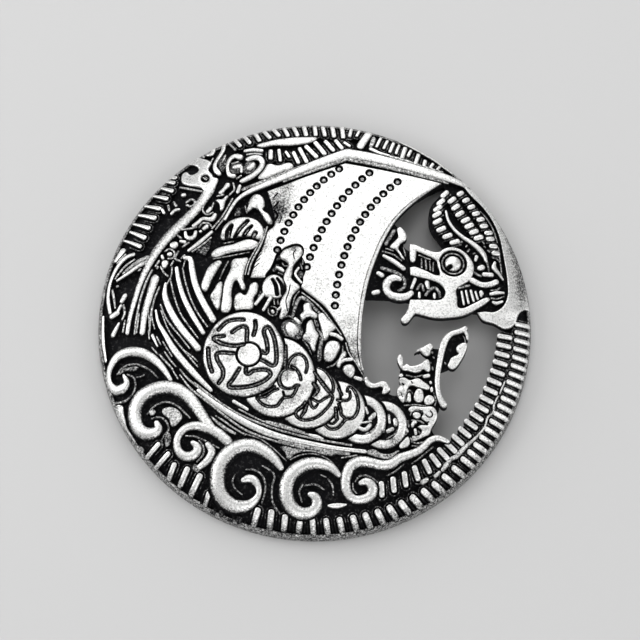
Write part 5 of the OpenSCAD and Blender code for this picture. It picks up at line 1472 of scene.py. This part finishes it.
# Dragon at the upper right: head, neck border and the ribs of its crest
dragon = {
    "shapes": [
        [(11.9, 6.85), (12.7, 7.3), (13.5, 7.42), (14.3, 7.15), (15, 6.5), (15.4, 5.7), (15.35, 4.8),
         (15, 4.1), (14.3, 3.6), (13.7, 3.1), (13.75, 2.2), (13.95, 1.2), (15.3, 1.7), (16.6, 2.4),
         (16.95, 2.2), (15.6, 1.15), (14.3, 0.45), (12.5, 0.12), (11.4, 0.12), (10.3, 0.35), (9.7, 0.45),
         (9.3, 0), (8.95, -0.45), (8.5, -0.5), (8.3, -0.1), (8.7, 0.4), (9, 1), (9.1, 1.4),
         (9.2, 1.85, 0), (10.6, 1.9), (12.1, 1.95), (12.55, 2.4), (12.6, 2.9), (12.2, 3.5), (11.4, 3.9),
         (9.25, 4.4, 0), (9.2, 5.15, 0), (9.7, 5.25), (10.8, 4.85), (12, 4.45), (12, 5.2), (11.8, 5.95),
         (10.6, 6.6), (9.85, 6.9, 0), (9.75, 5.95), (9.5, 5.7), (9.25, 5.9), (9.2, 7.6, 0), (9.7, 7.55),
         (10.8, 7.1)],
        [(8, 9.2), (8.35, 9.35), (8.9, 8.6), (8.85, 8), (8.35, 7.65), (8.1, 7.1), (8.35, 6.6),
         (8.65, 5.95), (8.1, 6.65), (7.75, 7.05), (7.3, 7.2), (7.7, 7.8), (8.1, 8.3), (8.05, 8.8)],
    ],
    "lines": [
        [(8.2, 3.95, 0.4), (7.7, 4.1, 0.65), (7.1, 3.75, 0.75), (6.9, 3.05, 0.72), (7.25, 2.4, 0.7),
         (8, 2.15, 0.75), (8.8, 2.2, 0.7), (9.3, 2.55, 0.5)],
        [(6.7, 6.3, 0.25), (7.6, 5.8, 0.42), (8.6, 5.05, 0.38)], [(6.15, 4.5, 0.36), (6.5, 4.3, 0.42)],
        [(5.7, 2.5, 0.4), (6.1, 2.6, 0.4)], [(9.35, 3.05, 0.22), (9.7, 3.95, 0.28)],
        [(10.85, 3.65, 0.42), (10.95, 3.15, 0.26)], [(10.1, 2.55, 0.22), (10.1, 2.15, 0.2)],
        [(11.55, 2.5, 0.22), (11.55, 2.15, 0.2)],
        [(12.8, 11.2, 0.18), (13, 10.3, 0.22), (13.55, 9.35, 0.25), (14.35, 8.6, 0.3), (15.2, 8.05, 0.38),
         (15.95, 7.45, 0.5), (16.45, 6.8, 0.46), (16.65, 6.15, 0.22)],
        [(15.25, 4.1, 0.56), (16.2, 3.7, 0.48), (17, 3.8, 0.54), (17.6, 4.1, 0.48)],
        [(16.4, 4.78, 0.36), (17.15, 4.78, 0.4)],
        [(17.5, 6.1, 0.2), (17.4, 5.6, 0.48), (17.85, 5, 0.28), (18.25, 4.4, 0.14)],
        [(16, 5.4, 0.46), (16.25, 5.5, 0.52)], [(15.6, 6.2, 0.24), (15.7, 6.55, 0.32)],
        [(17.05, 2.78, 0.26), (17.6, 2.95, 0.3), (18.3, 3, 0.14)],
        [(16.1, 2.95, 0.26), (16.2, 2.75, 0.26)],
        [(17.25, 1.95, 0.2), (17.55, 1.87, 0.28), (18.15, 2.1, 0.16)],
        [(17.3, 7.1, 0.2), (17.45, 7.1, 0.2)], [(14.2, 2.85, 0.16), (14.4, 1.6, 0.18)],
        [(14.62, 2.95, 0.16), (14.85, 1.75, 0.18)], [(15.1, 3, 0.2), (15.35, 2, 0.2)],
        [(15.55, 2.9, 0.16), (15.75, 2.2, 0.18)], [(16, 2.9, 0.14), (16.1, 2.5, 0.16)],
    ],
    "threads": [
        [(10.35, 6.1, 0.14), (10.35, 5.2, 0.16)], [(10.75, 6, 0.16), (10.8, 5.1, 0.18)],
        [(11.15, 5.9, 0.14), (11.2, 5, 0.16)], [(11.5, 5.8, 0.12), (11.45, 4.9, 0.14)],
        [(10.1, 6.5, 0.12), (11.2, 6.1, 0.14)],
        [(6.5, 5.1, 0.4), (7.4, 4.8, 0.42), (8.2, 4.45, 0.38), (8.7, 3.8, 0.38), (8.6, 3.1, 0.36),
         (8.1, 2.8, 0.25)], [(9.9, 3, 0.22), (10.3, 3.5, 0.28), (10.5, 2.9, 0.22)],
        [(10.7, 2.4, 0.26), (11.1, 2.95, 0.34), (11.6, 3.2, 0.34), (12, 2.8, 0.3), (12.1, 2.3, 0.22)],
        [(16.2, 11.6, 0.12), (16.8, 10.9, 0.14), (17.4, 9.8, 0.14), (17.8, 8.4, 0.12)],
        [(17.9, 7.8, 0.12), (18.05, 6.2, 0.14), (18.15, 5, 0.12)], [(6.9, 7.6, 0.35), (7.7, 9, 0.4)],
        [(6.6, 6.8, 0.14), (7.6, 6.5, 0.16), (8.4, 5.9, 0.14)], [(6.9, 7.1, 0.12), (7.6, 6.9, 0.14)],
        [(8.6, 7.3, 0.12), (8.8, 6.4, 0.14)], [(14, 7.9, 0.16), (14.3, 8.1, 0.2)],
        [(14.85, 7.1, 0.16), (15, 7.3, 0.18)], [(14.7, 7.6, 0.14), (14.8, 7.75, 0.14)],
        [(15.4, 6.9, 0.12), (15.55, 6.95, 0.14)], [(16.35, 8.2, 0.14), (16.45, 8.1, 0.2)],
        [(16.5, 7.75, 0.14), (16.6, 7.65, 0.14)], [(16.85, 7.35, 0.16), (17.05, 7.2, 0.18)],
        [(17.3, 6.6, 0.1), (17.7, 6.55, 0.14), (18, 6.2, 0.1)], [(16.75, 6.1, 0.2), (16.9, 5.2, 0.16)],
        [(15.5, 4.95, 0.2), (15.8, 4.7, 0.3), (16.1, 4.6, 0.2)],
        [(17.05, 3.2, 0.12), (17.6, 3.25, 0.22), (17.95, 3.55, 0.14)],
        [(17.1, 2.4, 0.12), (17.6, 2.35, 0.16), (18.3, 2.65, 0.12)],
        [(13.9, 3.25, 0.2), (14.5, 3.5, 0.3), (15, 3.6, 0.2)],
    ],
    "eye": (13.4, 5.75),
    "eyeHole": 1.37,
    "eyeRing": 1.06,
    "eyeLine": 0.14,
    "eyeBall": 0.8,
    # share of the ball's width, and height
    "ballRings": [(1, -0.34), (0.94, -0.16), (0.8, -0.05), (0.55, 0.03), (0.25, 0.06)],
    "notch": [(12.75, 5.1, 0.46), (13.15, 5.4, 0.52)],
    "notchDeep": 0.6,
    "neck": [
        (14.6, 14.3, 0), (15.3, 13.3), (16.4, 12.2), (17.4, 10.7), (18, 9.1), (18.4, 6.8), (18.7, 4.4),
        (18.7, 2.8), (18.2, 1.6), (17.3, 0.95), (16.4, 0.95), (15.7, 0.8, 0), (16.2, 0.1), (17.3, -0.2),
        (18.4, -0.65), (19.3, -0.1), (19.8, 1.1), (20.4, 1.6), (20.9, 1.6, 0),
    ],
    "neckArc": (20.93, 6, 43),  # radius, and the first and last angle
    # painted shade on the neck's outer slope, sunk so that the finish paints it grey: x, y, reach and
    # depth
    "neckSlope": [
        (16.5, 13.3, 0.5, 0.14), (17.4, 12.1, 0.5, 0.18), (18.1, 11, 0.55, 0.2), (18.6, 9.9, 0.6, 0.22),
        (19.1, 8.8, 0.6, 0.24), (19.4, 7.7, 0.7, 0.24), (19.75, 6.5, 0.7, 0.24), (19.95, 5.3, 0.75, 0.24),
        (20.1, 4.1, 0.75, 0.24), (20.1, 3, 0.7, 0.22), (20.1, 2, 0.5, 0.16), (18.9, 0.2, 0.6, 0.1),
    ],
    # the centres of each column of ribs, rib length, first and last rib angle
    "crest": [
        [[(12.7, 13.1), (12.3, 12.2), (12, 11.5), (11.9, 10.85), (11.95, 10.1), (12.3, 9.3), (12.9, 8.6),
          (13.6, 8)], 1.05, 48, 18],
        [[(13.4, 12.5), (13.75, 11.75), (14.15, 11.05), (14.7, 10.4), (15.05, 9.8), (15.5, 9.2),
          (15.95, 8.6)], 1.02, 42, 22],
        [[(14.25, 13.35), (14.8, 12.65), (15.3, 11.95), (15.75, 11.25), (16.2, 10.65), (16.5, 9.95),
          (16.95, 9.25), (17.1, 8.6), (17.4, 7.85), (17.62, 7.1)], 0.86, 40, 0],
    ],
    "crestRib": 0.46,
    "crestLine": 0.12,
    "crestAway": 0.39,
}


def makeDragon():
    eyeHole = circlePoints(dragon["eye"], dragon["eyeHole"], 40)
    head = fillOutlines("dragon", dragon["shapes"], [eyeHole], edge=0.16)
    radius, low, high = dragon["neckArc"]
    arc = [(radius * math.cos(math.radians(a)), radius * math.sin(math.radians(a)))
           for a in np.arange(low, high + 1, 3)]
    neck = fillOutlines("neck", [dragon["neck"] + arc], edge=0.16, grid=0.5)
    dip(neck, dragon["neckSlope"])
    size = dragon["eyeBall"]
    rings = [(size, -face["root"])] + [(size * share, height) for share, height in dragon["ballRings"]]
    ball = ringForm("eyeBall", rings, 40)
    setVertices(ball, vertexArray(ball) + (*dragon["eye"], 0))
    drape(ball)
    carve(ball, drawLines("notch", [dragon["notch"]], cut=dragon["notchDeep"]))
    ribs, lines = [], []
    width, aside = dragon["crestRib"], dragon["crestAway"]
    for centres, length, leanFirst, leanLast in dragon["crest"]:
        for i, (x, y) in enumerate(centres):
            way = math.radians(leanFirst + (leanLast - leanFirst) * i / (len(centres) - 1))
            ribs.append(straightLine(x, y, way, (length - width) / 2, width))
            x, y = x + aside * math.sin(way), y - aside * math.cos(way)
            lines.append(straightLine(x, y, way, length / 2, dragon["crestLine"]))
    crest = drawLines("crest", ribs, roundness=0.55, power=2.4)
    crestLines = drawLines("crestLines", lines, sink=0.26)
    eyeRing = circleLines(dragon["eye"], dragon["eyeRing"], dragon["eyeLine"], 32)
    return joinAll([head, neck, ball, crest, crestLines, drawLines("eyeRing", eyeRing, sink=0.2),
                    drawLines("dragonLines", dragon["lines"], roundness=0.8, power=2.2, wider=0.04),
                    drawLines("dragonThreads", dragon["threads"], sink=0.2)])


# Prow and bow ornament
prow = {
    "lines": [
        [(14.5, -0.85, 0.45), (13.9, -1.15, 0.42), (13.2, -1.4, 0.4), (12.7, -1.85, 0.55),
         (12.35, -2.6, 0.62), (12.15, -3.4, 0.55), (11.98, -4.3, 0.5), (11.82, -5.3, 0.48),
         (11.75, -6.3, 0.46), (11.8, -7, 0.45), (12, -7.8, 0.52), (12.35, -8.4, 0.66)],
        [(14.4, -1, 0.4), (14.65, -1.4, 0.28), (14.7, -1.9, 0.14)],
        [(9.05, -7.55, 0.24), (9.02, -8.1, 0.34)], [(11.2, -6.9, 0.22), (11.2, -7.1, 0.24)],
        [(11.1, -6.3, 0.2), (11.12, -6.35, 0.2)], [(10.5, -5.75, 0.26), (10.9, -5.65, 0.3)],
        [(8.2, -5.75, 0.24), (8.3, -5.7, 0.3)], [(8.75, -10.95, 0.24), (8.85, -11.1, 0.2)],
        [(9.6, -10.95, 0.24), (9.65, -11.3, 0.22)],
    ],
    "threads": [
        [(8.75, -8.2, 0.12), (8.72, -7.6, 0.14), (9.05, -7.1, 0.16), (9.35, -7.4, 0.12)],
        [(11.25, -3.3, 0.2), (11.3, -3.35, 0.2)], [(11.4, -3.75, 0.2), (11.42, -3.85, 0.2)],
        [(11.3, -4.8, 0.16), (11.32, -5, 0.2)], [(11.1, -4.3, 0.14), (11.12, -4.35, 0.16)],
        [(8.8, -5.65, 0.12), (9.6, -5.8, 0.14), (10.3, -5.6, 0.12)],
        [(12.5, -4.3, 0.14), (12.55, -4.4, 0.18)],
        [(11.4, -7.3, 0.12), (11.6, -8, 0.14), (11.5, -8.5, 0.12)],
        [(8.6, -8.6, 0.12), (9.6, -8.5, 0.12), (10.6, -8.6, 0.12)],
        [(9.15, -9.5, 0.12), (9.3, -9.15, 0.14), (9.8, -9.05, 0.14), (10.25, -9.2, 0.12)],
        [(8.9, -10.1, 0.16), (9, -10.6, 0.16)],
        [(9.3, -10, 0.12), (10, -10.05, 0.16), (10.4, -10.25, 0.18)],
        [(9.9, -11.05, 0.14), (10.1, -11.25, 0.16)], [(8.4, -11.5, 0.14), (8.75, -11.3, 0.16)],
        [(9.25, -12.05, 0.14), (9.8, -12.2, 0.2), (10.4, -12.05, 0.14)],
        [(9.3, -12.45, 0.12), (10, -12.5, 0.14)], [(9.15, -11.7, 0.16), (9.35, -12, 0.16)],
    ],
    "shapes": [
        [(13.65, -2.8), (14, -2.45), (14.45, -2.3), (14.65, -2.45), (14.5, -3.1), (14.1, -3.9),
         (13.65, -4.6), (13.25, -4.9), (12.8, -4.65), (12.95, -4.25), (13.15, -3.85), (13.9, -3.4),
         (13.7, -3.15)],
        [(9.75, -3.35), (10.3, -2.95), (10.7, -2.7), (11.1, -2.5), (11.35, -2.8), (11.1, -3.15),
         (11.05, -3.5), (10.8, -3.7), (10.4, -3.5), (10.1, -3.2)],
        [(7.95, -4.1), (8.1, -3.7), (8.35, -3.75), (8.45, -4.3), (8.5, -4.8), (8.8, -4.6), (9.2, -4.78),
         (9.7, -4.72), (10.2, -4.5), (10.7, -4.1), (10.92, -4.15), (11.05, -5), (10.9, -5.25), (10.4, -5),
         (10, -5.3), (9.5, -5.35), (9, -5.2), (8.5, -5.15), (8.15, -4.75)],
        [(7.95, -7.1), (8.2, -6.6), (8.15, -6.05), (8.6, -5.95), (9.1, -6.2), (9.9, -5.98), (10.4, -6.3),
         (10.95, -6.7), (10.9, -6.98), (10.4, -6.9), (9.8, -6.75), (9.4, -6.6), (9, -6.75), (8.75, -7.3),
         (8.6, -8), (8.45, -8.3), (8.15, -8), (7.95, -7.6)],
        [(9.55, -8), (9.6, -7.4), (9.9, -7), (10.25, -7.1), (10.38, -7.6), (10.3, -8.1), (9.9, -8.25)],
        [(10.5, -8.2), (10.6, -7.8), (10.9, -7.6), (11.3, -7.7), (11.42, -8.1), (11.1, -8.4),
         (10.7, -8.45)],
        [(9, -9.05), (9.3, -8.72), (10.3, -8.75), (11.3, -8.72), (11.65, -9.2), (11.65, -9.8),
         (11.4, -10.3), (11.1, -10.8), (10.9, -11.3), (10.5, -11.5), (10, -11.75), (9.45, -11.95),
         (9.35, -11.55), (9.9, -11.5), (10.25, -11.2), (10.2, -10.8), (9.9, -10.65), (10.3, -10.5),
         (10.9, -10.45), (10.7, -10.1), (10.35, -9.9), (10.25, -9.7), (10.45, -9.4), (10.3, -9.05),
         (9.6, -8.98), (9.3, -9.2)],
        [(9.4, -9.4), (9.75, -9.28), (10.1, -9.45), (9.9, -9.8), (9.55, -9.72)],
        [(9.25, -10.4), (9.5, -10.05), (9.75, -10.2), (9.5, -10.4), (9.35, -10.7)],
        [(8.1, -12.6), (8.6, -11.9), (8.9, -11.65), (9.05, -12), (8.95, -12.4), (8.65, -12.6)],
        [(4.9, -5.9), (5.2, -6.35), (5.7, -6.6), (6.2, -6.4), (6.7, -6.35), (7.05, -6.7), (7.2, -7.1),
         (6.9, -7.4), (6.5, -7.5), (6.6, -7), (6.3, -6.78), (5.9, -6.9), (5.3, -6.9), (4.9, -6.55)],
    ],
    "swirlDeep": 0.45,
    "swirls": [
        [(11.05, -9.1, 0.14), (11.25, -9.35, 0.16), (11.15, -9.68, 0.16), (10.8, -9.68, 0.16),
         (10.6, -9.45, 0.12)], [(10.9, -10.15, 0.14), (10.55, -10.3, 0.2)],
        [(8.4, -6.5, 0.2), (8.5, -6.6, 0.2)], [(9.25, -6.3, 0.14), (9.35, -6.45, 0.16)],
        [(8.25, -7.4, 0.12), (8.4, -7.8, 0.12)],
    ],
    "dips": [
        (8.4, -6.6, 0.4, 0.16), (8.3, -7.6, 0.3, 0.18), (9.6, -11.7, 0.4, 0.18), (10.6, -11, 0.4, 0.1),
        (10, -5.1, 0.3, 0.08), (8.6, -12.3, 0.2, 0.08),
    ],
}


def makeProw():
    shapes = fillOutlines("prow", prow["shapes"], edge=0.17, grid=0.5, grow=0.04)
    dip(shapes, prow["dips"])
    carve(shapes, drawLines("swirls", prow["swirls"], cut=prow["swirlDeep"]))
    return joinAll([shapes, drawLines("prowLines", prow["lines"], roundness=0.75, power=2.2, wider=0.04),
                    drawLines("prowThreads", prow["threads"], sink=0.2)])


# Each piece with the angle up to which its edges are smooth
for name, make, smoothAngle in (
    ("plate", makePlate, 40), ("waves", makeWaves, 60), ("border", makeBorder, 60),
    ("sail", makeSail, 40), ("shields", makeShields, 40), ("hull", makeHull, 60),
    ("crew", makeCrew, 40), ("stern", makeStern, 40), ("dragon", makeDragon, 40), ("prow", makeProw, 50),
):
    finishPiece(make(), name, smoothAngle)

# Camera, lights and floor
view = {
    "target": (0.524, 0.552, 2.0),  # in millimetres
    "elevation": 72.8386,
    "distance": 320.0,
    "pixelsPerMm": 10.3253,
    "imageWidth": 640,
    "sensor": 36.0,
}
studio = {
    "floorColour": (0.5, 0.5, 0.5, 1),
    "worldGrey": 0.05,
    "floorWidth": 1600,
    "floorRoughness": 0.9,
    "lights": [
        # name, place and width in millimetres, power in watts
        ("overhead", (-20, 105, 330), 300, 0.5),
        ("lowWest", (-330, 60, 150), 360, 1.4),
        ("lowNorth", (60, 340, 150), 360, 1.0),
        ("lowEast", (330, -60, 170), 360, 0.8),
        ("lowSouth", (0, -330, 170), 360, 0.85),
    ],
}


def makeFloor():
    bpy.ops.mesh.primitive_plane_add(size=studio["floorWidth"] * mm, location=(0, 0, 0))
    floor = bpy.context.object
    floor.name = "floor"
    material, _, surface = newMaterial("paleFloor", Roughness=studio["floorRoughness"])
    surface.inputs["Base Color"].default_value = studio["floorColour"]
    floor.data.materials.append(material)


def aimAt(thing, place, target):
    away = np.array(place) - np.array(target)
    flat = math.hypot(away[0], away[1])
    thing.location = [value * mm for value in place]
    thing.rotation_euler = (math.atan2(flat, away[2]), 0, math.atan2(away[0], -away[1]))


def makeLights():
    world = bpy.data.worlds.new("studioAir")
    bpy.context.scene.world = world
    world.use_nodes = True
    air = world.node_tree.nodes["Background"]
    air.inputs["Color"].default_value = (1, 1, 1, 1)
    air.inputs["Strength"].default_value = studio["worldGrey"]
    for name, place, width, power in studio["lights"]:
        bpy.ops.object.light_add(type="AREA")
        light = bpy.context.object
        light.name = name
        light.data.shape = "SQUARE"
        light.data.size = width * mm
        light.data.energy = power
        aimAt(light, place, (0, 0, 0))


def makeCamera():
    bpy.ops.object.camera_add()
    camera = bpy.context.object
    camera.name = "photoCamera"
    target = np.array(view["target"])
    tilt = math.radians(view["elevation"])
    place = target + view["distance"] * np.array((0, -math.cos(tilt), math.sin(tilt)))
    aimAt(camera, place, target)
    camera.data.sensor_width = view["sensor"]
    camera.data.lens = view["sensor"] * view["distance"] / (view["imageWidth"] / view["pixelsPerMm"])
    camera.data.clip_start = 0.01
    camera.data.clip_end = 10
    bpy.context.scene.camera = camera


bpy.context.scene.view_settings.view_transform = "Standard"
makeFloor()
makeLights()
makeCamera()
print("floor, lights and camera placed")
